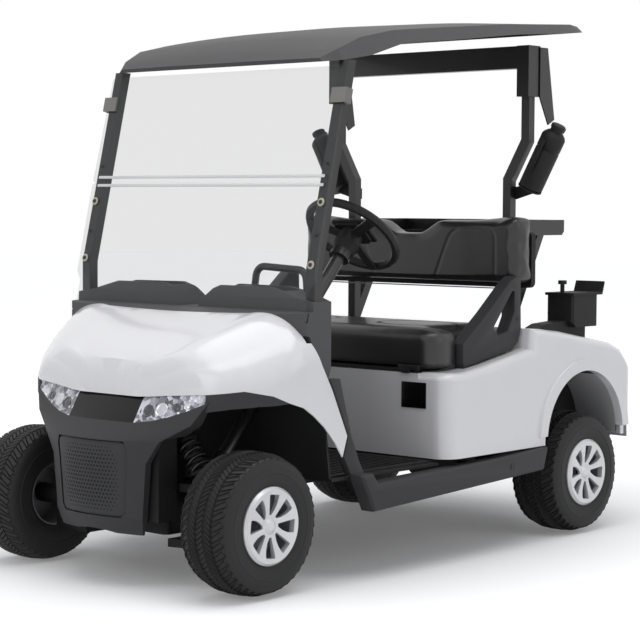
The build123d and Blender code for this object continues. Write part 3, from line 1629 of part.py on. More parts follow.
# ---------------------------------------------------------------- rear axle and drive
axle_tube_radius = 38.0
motor_radius = 85.0
motor_left = 70.0
motor_right = -180.0
hub_clear = 12.0
spring_x = 300.0
spring_wide = 50.0
spring_thick = 14.0
spring_eye = 330.0
spring_eye_z = rail_z - rail_height / 2
spring_middle_z = axle_z + axle_tube_radius + spring_thick / 2 + 8
spring_eye_radius = 17.0
spring_bow = 0.8
with BuildPart() as rear_axle:
    tube_reach = rear_half_track + disc_x - hub_depth - hub_slack
    with BuildSketch(Plane.YZ.offset(-tube_reach)):
        with Locations((rear_axle_y, axle_z)):
            Circle(axle_tube_radius)
    extrude(amount=2 * tube_reach)
    shaft_reach = rear_half_track + spindle_end_x - spindle_slack
    with BuildSketch(Plane.YZ.offset(-shaft_reach)):
        with Locations((rear_axle_y, axle_z)):
            Circle(spindle_radius)
    extrude(amount=2 * shaft_reach)
    with BuildSketch(Plane.YZ.offset(motor_right)):
        with Locations((rear_axle_y, axle_z)):
            Circle(motor_radius)
    extrude(amount=motor_left - motor_right)
    # seats of the springs
    with BuildSketch(Plane.XY.offset(axle_z)):
        with Locations((spring_x, rear_axle_y), (-spring_x, rear_axle_y)):
            Rectangle(spring_wide, 90)
    extrude(amount=spring_middle_z - spring_thick / 2 - spring_bow - axle_z)
finish(rear_axle.part, "rear_axle")

# A leaf spring a side clamps the axle to hangers on the frame.
with BuildPart() as leaf_springs:
    for side in (1, -1):
        with BuildSketch(Plane.YZ.offset(side * spring_x - spring_wide / 2)):
            with BuildLine():
                for drop in (-spring_thick / 2, spring_thick / 2):
                    ThreePointArc(
                        side_point("rear", -spring_eye, spring_eye_z - 10 + drop),
                        side_point("rear", 0, spring_middle_z + drop),
                        side_point("rear", spring_eye, spring_eye_z - 10 + drop),
                    )
                Line(
                    side_point("rear", -spring_eye, spring_eye_z - 10 - spring_thick / 2),
                    side_point("rear", -spring_eye, spring_eye_z - 10 + spring_thick / 2),
                )
                Line(
                    side_point("rear", spring_eye, spring_eye_z - 10 - spring_thick / 2),
                    side_point("rear", spring_eye, spring_eye_z - 10 + spring_thick / 2),
                )
            make_face()
            with Locations(side_point("rear", -spring_eye, spring_eye_z - 10)):
                Circle(spring_eye_radius)
            with Locations(side_point("rear", spring_eye, spring_eye_z - 10)):
                Circle(spring_eye_radius)
        extrude(amount=spring_wide)
finish(leaf_springs.part, "leaf_springs")

with BuildPart() as spring_hangers:
    inner = rail_x + rail_width / 2
    outer = spring_x + spring_wide / 2
    with BuildSketch(Plane.XY.offset(spring_eye_z - 10 + spring_eye_radius + seat_gap)):
        for side in (1, -1):
            for eye in (-spring_eye, spring_eye):
                with Locations((side * (inner + outer) / 2, behind_rear(eye))):
                    Rectangle(outer - inner, 50)
    extrude(amount=rail_height - 16)
finish(spring_hangers.part, "spring_hangers")

# ---------------------------------------------------------------- batteries
battery_middle = -580.0
battery_width = 660.0
battery_depth = 400.0
battery_height = 255.0
with BuildPart() as battery_pack:
    with BuildSketch(Plane.XY.offset(rail_z + rail_height / 2)):
        with Locations((0, behind_rear(battery_middle))):
            Rectangle(battery_width, battery_depth)
    extrude(amount=battery_height)
finish(battery_pack.part, "battery_pack")

# ---------------------------------------------------------------- steering gear
# Box on the left rail that the column ends in.
gear_half_x = 35.0
gear_half_y = 30.0
gear_height = 60.0
gear_behind = 118.0
boss_radius = 30.0
boss_length = 75.0
with BuildPart() as steering_gear:
    with BuildSketch(Plane.XY.offset(rail_z + rail_height / 2)):
        with Locations((steer_x - 20, behind_front(gear_behind))):
            Rectangle(2 * gear_half_x, 2 * gear_half_y)
    extrude(amount=gear_height)
    with BuildSketch(steer_plane.offset(-steer_hub_height - 2 * seat_gap - column_reach)):
        Circle(boss_radius)
    extrude(amount=-boss_length / 2)
finish(steering_gear.part, "steering_gear")
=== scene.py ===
import json
import math

import bpy
import numpy as np
from mathutils import Matrix, Vector


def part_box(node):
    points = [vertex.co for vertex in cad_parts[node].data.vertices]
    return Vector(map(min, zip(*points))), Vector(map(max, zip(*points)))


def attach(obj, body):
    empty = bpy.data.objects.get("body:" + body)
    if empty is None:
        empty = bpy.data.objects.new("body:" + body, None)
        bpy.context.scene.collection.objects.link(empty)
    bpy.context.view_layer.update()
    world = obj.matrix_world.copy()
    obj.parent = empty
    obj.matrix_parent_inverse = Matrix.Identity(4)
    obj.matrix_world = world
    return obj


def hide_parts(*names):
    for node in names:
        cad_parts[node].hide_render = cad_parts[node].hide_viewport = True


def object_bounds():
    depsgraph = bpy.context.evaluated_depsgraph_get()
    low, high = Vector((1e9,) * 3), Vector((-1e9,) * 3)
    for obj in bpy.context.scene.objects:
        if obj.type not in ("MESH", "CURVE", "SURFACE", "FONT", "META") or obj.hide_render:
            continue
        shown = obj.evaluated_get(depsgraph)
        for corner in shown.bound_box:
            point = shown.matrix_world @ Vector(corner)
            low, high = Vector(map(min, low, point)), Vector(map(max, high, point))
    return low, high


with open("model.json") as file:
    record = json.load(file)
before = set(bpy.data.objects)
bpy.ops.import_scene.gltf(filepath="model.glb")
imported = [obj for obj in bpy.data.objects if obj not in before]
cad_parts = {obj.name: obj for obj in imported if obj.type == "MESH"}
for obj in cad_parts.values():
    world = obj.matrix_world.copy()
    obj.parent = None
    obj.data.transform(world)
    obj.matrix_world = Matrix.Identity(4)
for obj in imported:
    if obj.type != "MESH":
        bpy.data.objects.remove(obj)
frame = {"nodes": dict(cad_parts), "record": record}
cad_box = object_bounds()
nodes = frame["nodes"]
body_of_node = {
    node: body
    for body, members in frame["record"]["behaviour"]["bodies"].items()
    for node in members
}

# ------------------------------------------------------------------ camera and studio
# A long lens at chest height looks down a little at the cart's left front corner. The
# floor and the world are white to the eye, and softer as light on the cart.
camera_place = (4.55931, -5.27554, 1.20390)
camera_pan = math.radians(41.2741)
camera_tilt = math.radians(3.4139)
camera_roll = math.radians(0.289)
camera_data = bpy.data.cameras.new("camera")
camera_data.lens = 109.82
camera_data.sensor_width = 36.0
camera = bpy.data.objects.new("camera", camera_data)
camera.matrix_world = (
    Matrix.Translation(camera_place)
    @ Matrix.Rotation(camera_pan, 4, "Z")
    @ Matrix.Rotation(math.pi / 2 - camera_tilt, 4, "X")
    @ Matrix.Rotation(camera_roll, 4, "Z")
)
bpy.context.scene.collection.objects.link(camera)
bpy.context.scene.camera = camera
bpy.context.scene.view_settings.view_transform = "Standard"


def seen_or_mirrored(tree):
    """1 for rays that the eye, a mirror or glass sends out, 0 for light."""
    path = tree.nodes.new("ShaderNodeLightPath")
    first = tree.nodes.new("ShaderNodeMath")
    first.operation = "MAXIMUM"
    second = tree.nodes.new("ShaderNodeMath")
    second.operation = "MAXIMUM"
    tree.links.new(path.outputs["Is Camera Ray"], first.inputs[0])
    tree.links.new(path.outputs["Is Transmission Ray"], first.inputs[1])
    tree.links.new(first.outputs[0], second.inputs[0])
    tree.links.new(path.outputs["Is Glossy Ray"], second.inputs[1])
    return second.outputs[0]


fill_colour = (0.93, 0.95, 1.0, 1.0)
fill_strength = 0.42
world = bpy.data.worlds.new("studio")
world.use_nodes = True
bpy.context.scene.world = world
sky = world.node_tree
fill = sky.nodes["Background"]
fill.inputs["Color"].default_value = fill_colour
fill.inputs["Strength"].default_value = fill_strength
backdrop = sky.nodes.new("ShaderNodeBackground")
backdrop.inputs["Color"].default_value = (1.0, 1.0, 1.0, 1.0)
backdrop.inputs["Strength"].default_value = 1.0
sky_mix = sky.nodes.new("ShaderNodeMixShader")
sky.links.new(seen_or_mirrored(sky), sky_mix.inputs["Fac"])
sky.links.new(fill.outputs[0], sky_mix.inputs[1])
sky.links.new(backdrop.outputs[0], sky_mix.inputs[2])
sky.links.new(sky_mix.outputs[0], sky.nodes["World Output"].inputs["Surface"])

# name, place, aimed at, size, power
STUDIO_LIGHTS = [
    ("softbox_top", (0.6, -0.6, 5.2), (0.0, 0.0, 0.6), 5.0, 172.0),
    ("softbox_front", (0.4, -6.5, 3.4), (0.0, -0.6, 0.6), 3.2, 46.0),
    ("softbox_side", (6.5, 1.5, 3.0), (0.3, 0.3, 0.6), 3.4, 30.0),
]
for name, place, target, size, power in STUDIO_LIGHTS:
    light = bpy.data.lights.new(name, "AREA")
    light.size = size
    light.energy = power
    lamp = bpy.data.objects.new(name, light)
    lamp.location = place
    lamp.rotation_euler = (Vector(target) - Vector(place)).to_track_quat("-Z", "Y").to_euler()
    bpy.context.scene.collection.objects.link(lamp)

floor_size = 60.0
# the floor's own glow, which lights nothing, is painted light for the eye; it grows with the
# distance from the cart's middle, between these distances and strengths, along an ellipse,
# so the floor round the cart is left darker as painted shade
glow_near, glow_far = 0.7, 2.6
glow_least, glow_most = 0.10, 0.60
glow_squeeze = (1.35, 0.85, 1.0)


def white_floor():
    """A matt floor that keeps the cart's shadow, with painted light that makes it brighter to the eye
    further off and leaves painted shade near the cart.
    """
    finish = bpy.data.materials.new("floor_paint")
    finish.use_nodes = True
    tree = finish.node_tree
    paint = tree.nodes["Principled BSDF"]
    paint.inputs["Base Color"].default_value = (0.86, 0.86, 0.86, 1.0)
    paint.inputs["Roughness"].default_value = 0.9
    coords = tree.nodes.new("ShaderNodeTexCoord")
    squeeze = tree.nodes.new("ShaderNodeMapping")
    squeeze.inputs["Scale"].default_value = glow_squeeze
    distance = tree.nodes.new("ShaderNodeVectorMath")
    distance.operation = "LENGTH"
    strength = tree.nodes.new("ShaderNodeMapRange")
    strength.inputs["From Min"].default_value = glow_near
    strength.inputs["From Max"].default_value = glow_far
    strength.inputs["To Min"].default_value = glow_least
    strength.inputs["To Max"].default_value = glow_most
    glow = tree.nodes.new("ShaderNodeEmission")
    dark = tree.nodes.new("ShaderNodeEmission")
    dark.inputs["Strength"].default_value = 0.0
    glow_seen = tree.nodes.new("ShaderNodeMixShader")
    whole = tree.nodes.new("ShaderNodeAddShader")
    tree.links.new(coords.outputs["Object"], squeeze.inputs["Vector"])
    tree.links.new(squeeze.outputs["Vector"], distance.inputs[0])
    tree.links.new(distance.outputs["Value"], strength.inputs["Value"])
    tree.links.new(strength.outputs["Result"], glow.inputs["Strength"])
    tree.links.new(seen_or_mirrored(tree), glow_seen.inputs["Fac"])
    tree.links.new(dark.outputs[0], glow_seen.inputs[1])
    tree.links.new(glow.outputs[0], glow_seen.inputs[2])
    tree.links.new(paint.outputs[0], whole.inputs[0])
    tree.links.new(glow_seen.outputs[0], whole.inputs[1])
    tree.links.new(whole.outputs[0], tree.nodes["Material Output"].inputs["Surface"])
    return finish


bpy.ops.object.select_all(action="DESELECT")
bpy.ops.mesh.primitive_plane_add(size=floor_size, location=(0.0, 0.0, cad_box[0].z))
floor = bpy.context.object
floor.name = "floor"
floor.data.materials.append(white_floor())

# ------------------------------------------------------------------ body panels
# Hood, rear quarters and seat base are white thermoplastic, moulded in colour and
# polished; the roof is the same kind of moulding in a grained dark grey.
weld_distance = 0.00002
flat_enough = math.radians(0.5)
cloud_scale = 5.0
gloss_spread = 0.07


def moulded(name, colour, roughness, grain, depth, coat=0.0, metallic=0.0, spread=0.04):
    """A moulded or painted finish: clouds of tone, and a grain of that scale and depth."""
    material = bpy.data.materials.new(name)
    material.use_nodes = True
    tree = material.node_tree
    surface = tree.nodes["Principled BSDF"]
    surface.inputs["Metallic"].default_value = metallic
    surface.inputs["Coat Weight"].default_value = coat
    surface.inputs["Coat Roughness"].default_value = 0.08
    surface.inputs["Specular IOR Level"].default_value = 0.5 if coat or metallic else 0.28
    coords = tree.nodes.new("ShaderNodeTexCoord")
    clouds = tree.nodes.new("ShaderNodeTexNoise")
    clouds.inputs["Scale"].default_value = cloud_scale
    clouds.inputs["Detail"].default_value = 6.0
    tone = tree.nodes.new("ShaderNodeValToRGB")
    tone.color_ramp.elements[0].position = 0.3
    tone.color_ramp.elements[1].position = 0.7
    tone.color_ramp.elements[0].color = [c * (1 - spread) for c in colour] + [1.0]
    tone.color_ramp.elements[1].color = [min(1.0, c * (1 + spread)) for c in colour] + [1.0]
    fine = tree.nodes.new("ShaderNodeTexNoise")
    fine.inputs["Scale"].default_value = grain
    fine.inputs["Detail"].default_value = 3.0
    gloss = tree.nodes.new("ShaderNodeMapRange")
    gloss.inputs["To Min"].default_value = max(0.03, roughness - gloss_spread)
    gloss.inputs["To Max"].default_value = min(1.0, roughness + gloss_spread)
    relief = tree.nodes.new("ShaderNodeBump")
    relief.inputs["Distance"].default_value = depth
    relief.inputs["Strength"].default_value = 0.6
    tree.links.new(coords.outputs["Object"], clouds.inputs["Vector"])
    tree.links.new(coords.outputs["Object"], fine.inputs["Vector"])
    tree.links.new(clouds.outputs["Fac"], tone.inputs["Fac"])
    tree.links.new(tone.outputs["Color"], surface.inputs["Base Color"])
    tree.links.new(clouds.outputs["Fac"], gloss.inputs["Value"])
    tree.links.new(gloss.outputs["Result"], surface.inputs["Roughness"])
    tree.links.new(fine.outputs["Fac"], relief.inputs["Height"])
    tree.links.new(relief.outputs["Normal"], surface.inputs["Normal"])
    return material


def dress(name, finish):
    """Gives a CAD node its finish."""
    for place in nodes[name].material_slots:
        place.material = finish


def coat_with(piece, *finishes):
    """Gives a piece these finishes in place of any that it has."""
    piece.data.materials.clear()
    for finish in finishes:
        piece.data.materials.append(finish)


def select_only(piece):
    """Makes the piece the only one that the operators act on."""
    bpy.ops.object.select_all(action="DESELECT")
    piece.select_set(True)
    bpy.context.view_layer.objects.active = piece


def work_with(piece, kind, **settings):
    """Adds a modifier of that kind to the active piece, with its settings, and applies it."""
    step = piece.modifiers.new(kind.lower(), kind)
    for setting, value in settings.items():
        setattr(step, setting, value)
    bpy.ops.object.modifier_apply(modifier=step.name)


def soften(piece, width, angle):
    """Rounds the active piece's edges that turn by more than that many degrees."""
    sharp = math.radians(angle)
    work_with(piece, "BEVEL", width=width, segments=2, limit_method="ANGLE", angle_limit=sharp)


def node_copy(name, ending, flatten=False):
    """A copy of a CAD node with its faces joined, and its flat areas too if asked."""
    piece = bpy.data.objects.new(name + ending, nodes[name].data.copy())
    bpy.context.scene.collection.objects.link(piece)
    select_only(piece)
    bpy.ops.mesh.customdata_custom_splitnormals_clear()
    bpy.ops.object.mode_set(mode="EDIT")
    bpy.ops.mesh.select_all(action="SELECT")
    bpy.ops.mesh.remove_doubles(threshold=weld_distance)
    if flatten:
        bpy.ops.mesh.dissolve_limited(angle_limit=flat_enough)
    bpy.ops.object.mode_set(mode="OBJECT")
    return piece


def skin(name, angle, width=0.0):
    """A CAD node's copy, smooth up to that angle in degrees, with soft edges if they have a width."""
    piece = node_copy(name, "_skin", flatten=True)
    if width:
        soften(piece, width, angle)
    bpy.ops.object.shade_smooth_by_angle(angle=math.radians(angle))
    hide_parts(name)
    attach(piece, body_of_node[name])
    return piece


body_white = moulded("body_white", (0.79, 0.785, 0.80), 0.22, 90.0, 0.00003, coat=0.5, spread=0.012)
for name in ("front_cowl", "quarter_left", "quarter_right"):
    panel = skin(name, 32.0)
    coat_with(panel, body_white)
dress("seat_base", body_white)

canopy = skin("roof", 30.0)
coat_with(canopy, moulded("roof_grain", (0.050, 0.050, 0.052), 0.55, 900.0, 0.0004))

# ------------------------------------------------------------------ dark mouldings
# Fascia, sills, bumper and dash are mass-coloured charcoal polypropylene with a mould
# grain, and the liners, wells and shells are black; the steel tubes are powder coated.
charcoal = moulded("charcoal_grain", (0.034, 0.034, 0.036), 0.55, 700.0, 0.0003)
dash_grain = moulded("dash_grain", (0.075, 0.075, 0.078), 0.5, 700.0, 0.0003)
trim_black = moulded("black_grain", (0.009, 0.009, 0.010), 0.6, 700.0, 0.0003)
powder_black = moulded("powder_black", (0.006, 0.006, 0.0065), 0.34, 1200.0, 0.00012, coat=0.15)
frame_black = moulded("frame_black", (0.005, 0.005, 0.0055), 0.65, 300.0, 0.0002)
# node, width of its soft edges, finish
CHARCOAL_PANELS = [
    ("front_fascia", 0.0, charcoal),
    ("sill_left", 0.002, charcoal),
    ("sill_right", 0.002, charcoal),
    ("rear_bumper", 0.0, charcoal),
    ("dashboard", 0.0, dash_grain),
]
for name, width, finish in CHARCOAL_PANELS:
    panel = skin(name, 30.0, width)
    coat_with(panel, finish)

# the houses are black in front and grey behind this place, over the rear wheels
arch_grey_from = 0.80
arch_grey = moulded("arch_grey", (0.42, 0.42, 0.43), 0.45, 300.0, 0.0001)
houses = skin("wheel_houses", 30.0)
coat_with(houses, trim_black, arch_grey)
for face in houses.data.polygons:
    face.material_index = 1 if face.center.y > arch_grey_from else 0

restraint = skin("hip_restraints", 35.0, 0.007)
coat_with(restraint, charcoal)

BLACK_MOULDINGS = (
    "front_liner", "bag_well", "seat_back_shell", "seat_lid", "ball_washer",
    "bottle_holders", "floor_pan", "floor_mat",
)
COATED_TUBES = (
    "front_pillars", "rear_struts", "roof_beam", "grab_handle", "steering_column",
    "bag_rack", "roof_gussets",
)
CHASSIS_PARTS = (
    "frame_rails", "frame_crossmembers", "front_beam", "front_arms", "front_shocks",
    "knuckle_left", "knuckle_right", "rear_axle", "leaf_springs", "spring_hangers",
    "steering_gear", "battery_pack", "pedals",
)
for finish, members in (
    (trim_black, BLACK_MOULDINGS),
    (powder_black, COATED_TUBES),
    (frame_black, CHASSIS_PARTS),
):
    for name in members:
        dress(name, finish)

# ------------------------------------------------------------------ tyres
# Low tubeless turf tyres of black rubber: herringbone blocks moulded across the crown,
# a saw-toothed shoulder and a smooth sidewall with two thin rings.
tyre_rubber = moulded("tyre_rubber", (0.020, 0.020, 0.021), 0.58, 260.0, 0.0002, spread=0.10)
tread_steps = 84
block_height = 0.005
block_taper = 0.0023
# distance from the tyre's middle, radius, turn in steps
TREAD_RINGS = [
    (-0.080, 0.2085, 0.0),
    (-0.048, 0.2190, 1.5),
    (-0.016, 0.2213, 0.0),
    (0.016, 0.2213, 1.5),
    (0.048, 0.2190, 0.0),
    (0.080, 0.2085, 1.5),
]
# distance from the tyre's middle, radius: from the shoulder inwards to the bead
SIDEWALL = [
    (0.0895, 0.2010), (0.0945, 0.1900), (0.0968, 0.1780), (0.0976, 0.1665), (0.0986, 0.1650),
    (0.0986, 0.1630), (0.0974, 0.1612), (0.0965, 0.1450), (0.0940, 0.1320), (0.0915, 0.1250),
    (0.0922, 0.1235), (0.0914, 0.1215), (0.0880, 0.1120), (0.0845, 0.1042), (0.0600, 0.1042),
]
ring_find = 0.0005
# every other step of the shoulder rings stands out by the tooth, and drops by this share
shoulder_from = 0.07
shoulder_tooth = 0.010
tooth_drop = 0.35
# the faces that are raised as blocks: half width of their band, least radius
crown_half = 0.075
crown_inner = 0.19


def tread_turn(x, radius, side):
    """Place and turn of the tread ring that a point lies on, or None off the tread."""
    for u, ring_radius, turn in TREAD_RINGS:
        same_side = (x * side > 0) == (u > 0)
        near = abs(abs(x) - abs(u)) < ring_find and abs(radius - ring_radius) < ring_find
        if near and same_side:
            return u, turn
    return None


def spun_tyre(name, side, centre):
    """One tyre, spun from its section about the axle, with its blocks raised."""
    inner_wall = [(-u, radius) for u, radius in SIDEWALL[::-1]]
    tread = [(u, radius) for u, radius, _ in TREAD_RINGS]
    section = inner_wall + tread + SIDEWALL
    bpy.ops.object.select_all(action="DESELECT")
    bpy.ops.mesh.primitive_circle_add(vertices=len(section), radius=0.1)
    piece = bpy.context.object
    piece.name = name
    for point, (u, radius) in zip(piece.data.vertices, section):
        point.co = (u * side, 0.0, radius)
    bpy.ops.object.mode_set(mode="EDIT")
    bpy.ops.mesh.select_all(action="SELECT")
    bpy.ops.mesh.spin(steps=tread_steps, angle=2 * math.pi, center=(0, 0, 0), axis=(1, 0, 0))
    bpy.ops.mesh.remove_doubles(threshold=0.0001)
    bpy.ops.mesh.normals_make_consistent(inside=False)
    bpy.ops.object.mode_set(mode="OBJECT")
    step = 2 * math.pi / tread_steps
    for point in piece.data.vertices:
        radius = math.hypot(point.co.y, point.co.z)
        ring = tread_turn(point.co.x, radius, side)
        if ring is None:
            continue
        u, turn = ring
        around = math.atan2(point.co.y, point.co.z)
        every_other = round(around / step) % 2
        tooth = shoulder_tooth if abs(u) > shoulder_from and every_other else 0.0
        radius -= tooth * tooth_drop
        around += turn * step
        out = point.co.x + math.copysign(tooth, point.co.x)
        point.co = (out, radius * math.sin(around), radius * math.cos(around))
    for face in piece.data.polygons:
        middle = face.center
        from_axle = math.hypot(middle.y, middle.z)
        face.select = abs(middle.x) < crown_half and from_axle > crown_inner
    select_only(piece)
    bpy.ops.object.mode_set(mode="EDIT")
    bpy.ops.mesh.select_mode(type="FACE")
    bpy.ops.mesh.inset(thickness=block_taper, depth=block_height, use_individual=True)
    bpy.ops.mesh.select_all(action="DESELECT")
    bpy.ops.object.mode_set(mode="OBJECT")
    piece.data.transform(Matrix.Translation(centre))
    bpy.ops.object.shade_smooth_by_angle(angle=math.radians(28))
    coat_with(piece, tyre_rubber)
    return piece


# wheel, side of the cart, body
CORNERS = [
    ("fl", 1, "front_left_wheel"),
    ("fr", -1, "front_right_wheel"),
    ("rl", 1, "rear_left_wheel"),
    ("rr", -1, "rear_right_wheel"),
]
for corner, side, body in CORNERS:
    low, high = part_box("tyre_" + corner)
    tyre = spun_tyre("tyre_" + corner + "_moulded", side, (Vector(low) + Vector(high)) / 2)
    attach(tyre, body)
    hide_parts("tyre_" + corner)

# ------------------------------------------------------------------ wheels and covers
# Pressed steel wheels behind silver-painted plastic covers. Eight curved windows are
# cut through each cover between its blades, wider than those of the plain wheel.
cover_silver = moulded(
    "cover_silver", (0.66, 0.66, 0.67), 0.30, 400.0, 0.00004, coat=0.4, metallic=0.35, spread=0.02
)
rim_steel = moulded("rim_steel", (0.20, 0.20, 0.21), 0.5, 300.0, 0.0001, metallic=0.1)
# a window's corners in the cover's plane: distance out, distance across
WINDOW = [
    (0.0345, -0.0045), (0.050, -0.0165), (0.068, -0.0250), (0.084, -0.0285),
    (0.0935, -0.0285), (0.0985, 0.0120), (0.0950, 0.0125), (0.0345, 0.0045),
]
window_count = 8
# from the cover's outer face: how deep a window is cut and silver paint reaches
window_depth = 0.045
window_overrun = 0.01
cover_depth = 0.030
cover_edge = 0.0012


def face_outwards(piece):
    """Turns the faces of a closed piece outwards."""
    select_only(piece)
    bpy.ops.object.mode_set(mode="EDIT")
    bpy.ops.mesh.select_all(action="SELECT")
    bpy.ops.mesh.normals_make_consistent(inside=False)
    bpy.ops.object.mode_set(mode="OBJECT")


def from_faces(name, points, faces):
    """A closed piece from its points and faces."""
    mesh = bpy.data.meshes.new(name)
    mesh.from_pydata(points, [], faces)
    piece = bpy.data.objects.new(name, mesh)
    bpy.context.scene.collection.objects.link(piece)
    face_outwards(piece)
    return piece


def cut_windows(wheel, side, centre_y, centre_z, inner_x, outer_x):
    """Opens the cover of a wheel between its blades."""
    points, faces = [], []
    size = len(WINDOW)
    for number in range(window_count):
        angle = number * math.tau / window_count
        start = len(points)
        for x in (inner_x, outer_x):
            for out, across in WINDOW:
                y = centre_y + out * math.cos(angle) - across * math.sin(angle)
                z = centre_z + side * (out * math.sin(angle) + across * math.cos(angle))
                points.append((x, y, z))
        faces.append([start + k for k in range(size)])
        faces.append([start + size + k for k in reversed(range(size))])
        for k in range(size):
            following = (k + 1) % size
            faces.append([start + following, start + k, start + size + k, start + size + following])
    cutter = from_faces("window_cutter", points, faces)
    select_only(wheel)
    work_with(wheel, "BOOLEAN", object=cutter, operation="DIFFERENCE", solver="EXACT")
    bpy.data.objects.remove(cutter)


for corner, side, body in CORNERS:
    wheel = skin("wheel_" + corner, 28.0)
    low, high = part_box("wheel_" + corner)
    centre_y, centre_z = (low[1] + high[1]) / 2, (low[2] + high[2]) / 2
    outer_face = high[0] if side > 0 else low[0]
    inner_x, outer_x = outer_face - side * window_depth, outer_face + side * window_overrun
    cut_windows(wheel, side, centre_y, centre_z, inner_x, outer_x)
    soften(wheel, cover_edge, 40.0)
    bpy.ops.object.shade_smooth_by_angle(angle=math.radians(40))
    coat_with(wheel, cover_silver, rim_steel)
    for face in wheel.data.polygons:
        face.material_index = 0 if abs(face.center.x - outer_face) < cover_depth else 1

# ------------------------------------------------------------------ windshield
# Two clear acrylic panes, with two soft white hinge strips between them. Screws hold
# them to the posts, some of them in pale washers, and two grey clips hold the upper one.
clear_acrylic = bpy.data.materials.new("clear_acrylic")
clear_acrylic.use_nodes = True
acrylic = clear_acrylic.node_tree.nodes["Principled BSDF"]
acrylic.inputs["Base Color"].default_value = (0.10, 0.105, 0.11, 1.0)
acrylic.inputs["Roughness"].default_value = 0.03
acrylic.inputs["Alpha"].default_value = 0.13
acrylic.inputs["IOR"].default_value = 1.49
dress("windshield_lower", clear_acrylic)
dress("windshield_upper", clear_acrylic)
dress("screen_clips", moulded("clip_grey", (0.20, 0.195, 0.18), 0.5, 400.0, 0.0001))
# a point of the outer face, and how far the face goes back as it rises
screen_y, screen_z = -0.6726, 1.2095
screen_slope = 0.2395
screen_rake = Vector((0.0, screen_slope, 1.0)).normalized()
screen_out = Vector((0.0, -1.0, screen_slope)).normalized()


def on_screen(x, z, proud):
    """A point on the outer face of the windshield, proud of it by that much."""
    return Vector((x, screen_y + screen_slope * (z - screen_z), z)) + screen_out * proud


def rounded_bar(name, start, end, width, thick, across, finish, radius=0.0015):
    """A straight bar with softened edges from start to end, its width across."""
    along = end - start
    length = along.length
    along = along.normalized()
    across = (across - along * across.dot(along)).normalized()
    normal = along.cross(across)
    bpy.ops.object.select_all(action="DESELECT")
    bpy.ops.mesh.primitive_cube_add(size=1.0)
    bar = bpy.context.object
    bar.name = name
    turn = Matrix((across, normal, along)).transposed().to_4x4()
    size = Matrix.Diagonal((width, thick, length, 1.0))
    bar.data.transform(Matrix.Translation((start + end) / 2) @ turn @ size)
    soften(bar, radius, 30.0)
    face_outwards(bar)
    bpy.ops.object.shade_smooth_by_angle(angle=math.radians(40))
    coat_with(bar, finish)
    return bar


def turned(name, profile, centre, axis, finish, steps=24):
    """A piece turned on a lathe, from its (height along the axis, radius) profile."""
    bpy.ops.object.select_all(action="DESELECT")
    bpy.ops.mesh.primitive_circle_add(vertices=len(profile), radius=1.0)
    piece = bpy.context.object
    piece.name = name
    for point, (height, radius) in zip(piece.data.vertices, profile):
        point.co = (radius, 0.0, height)
    bpy.ops.object.mode_set(mode="EDIT")
    bpy.ops.mesh.select_all(action="SELECT")
    bpy.ops.mesh.spin(steps=steps, angle=2 * math.pi, center=(0, 0, 0), axis=(0, 0, 1))
    bpy.ops.mesh.remove_doubles(threshold=weld_distance)
    bpy.ops.mesh.normals_make_consistent(inside=False)
    bpy.ops.object.mode_set(mode="OBJECT")
    turn = Vector((0, 0, 1)).rotation_difference(Vector(axis)).to_matrix().to_4x4()
    piece.data.transform(Matrix.Translation(centre) @ turn)
    bpy.ops.object.shade_smooth_by_angle(angle=math.radians(40))
    coat_with(piece, finish)
    return piece


hinge_white = moulded("hinge_white", (0.72, 0.73, 0.73), 0.4, 200.0, 0.00005)
washer_beige = moulded("washer_beige", (0.50, 0.46, 0.36), 0.45, 500.0, 0.00005)
bolt_dark = moulded("bolt_dark", (0.03, 0.03, 0.03), 0.35, 500.0, 0.00005, metallic=0.7)
band_heights = (1.262, 1.290)
band_reach = 0.522
band_width, band_thick = 0.010, 0.004
band_proud = 0.0035
for row, z in enumerate(band_heights):
    ends = [on_screen(x, z, band_proud) for x in (-band_reach, band_reach)]
    band = rounded_bar(
        f"hinge_band_{row}", *ends, band_width, band_thick, screen_rake, hinge_white
    )
    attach(band, "chassis")

# place across, height, radius: the wide ones are washers with a bolt in the middle
SCREEN_SCREWS = [
    (0.523, 1.012, 0.0135), (0.523, 1.208, 0.0135), (-0.523, 1.012, 0.0135), (-0.523, 1.208, 0.0135),
    (0.523, 1.105, 0.005), (-0.523, 1.105, 0.005), (0.520, 1.330, 0.005), (-0.520, 1.330, 0.005),
]
washer_from = 0.01
washer_proud, head_proud = 0.001, 0.0040
bolt_head = [(0.0, 0.0), (0.0, 0.0068), (0.003, 0.0068), (0.0052, 0.004), (0.0055, 0.0)]
for number, (x, z, radius) in enumerate(SCREEN_SCREWS):
    is_washer = radius > washer_from
    disc = [(0.0, 0.0), (0.0, radius), (0.0025, radius), (0.0035, radius * 0.8), (0.0035, 0.0)]
    colour = washer_beige if is_washer else bolt_dark
    seat = on_screen(x, z, washer_proud)
    washer = turned(f"screen_washer_{number}", disc, seat, screen_out, colour, 28)
    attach(washer, "chassis")
    if is_washer:
        seat = on_screen(x, z, head_proud)
        head = turned(f"screen_bolt_{number}", bolt_head, seat, screen_out, bolt_dark, 24)
        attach(head, "chassis")

# ------------------------------------------------------------------ lamps and front panel
# Lamps with faceted bright reflectors and round bowls, either side of a gloss black
# panel; below it a dimpled pad of charcoal plastic closes the fascia's opening.
gloss_black = moulded("gloss_black", (0.004, 0.004, 0.004), 0.22, 60.0, 0.00002)
lamp_bright = moulded(
    "lamp_bright", (0.62, 0.62, 0.66), 0.12, 30.0, 0.002, coat=1.0, metallic=0.55, spread=0.25
)
lamp_dark = moulded("lamp_dark", (0.05, 0.05, 0.06), 0.2, 200.0, 0.0001, coat=0.6, metallic=0.5)
facet_scale = 62.0
facet_relief = 0.004
# each facet's colour, between these two tones, is a painted reflection; the relief and the metal are
# real
facet_dark_reflection = (0.10, 0.10, 0.12, 1.0)
facet_pale_reflection = (0.66, 0.66, 0.74, 1.0)


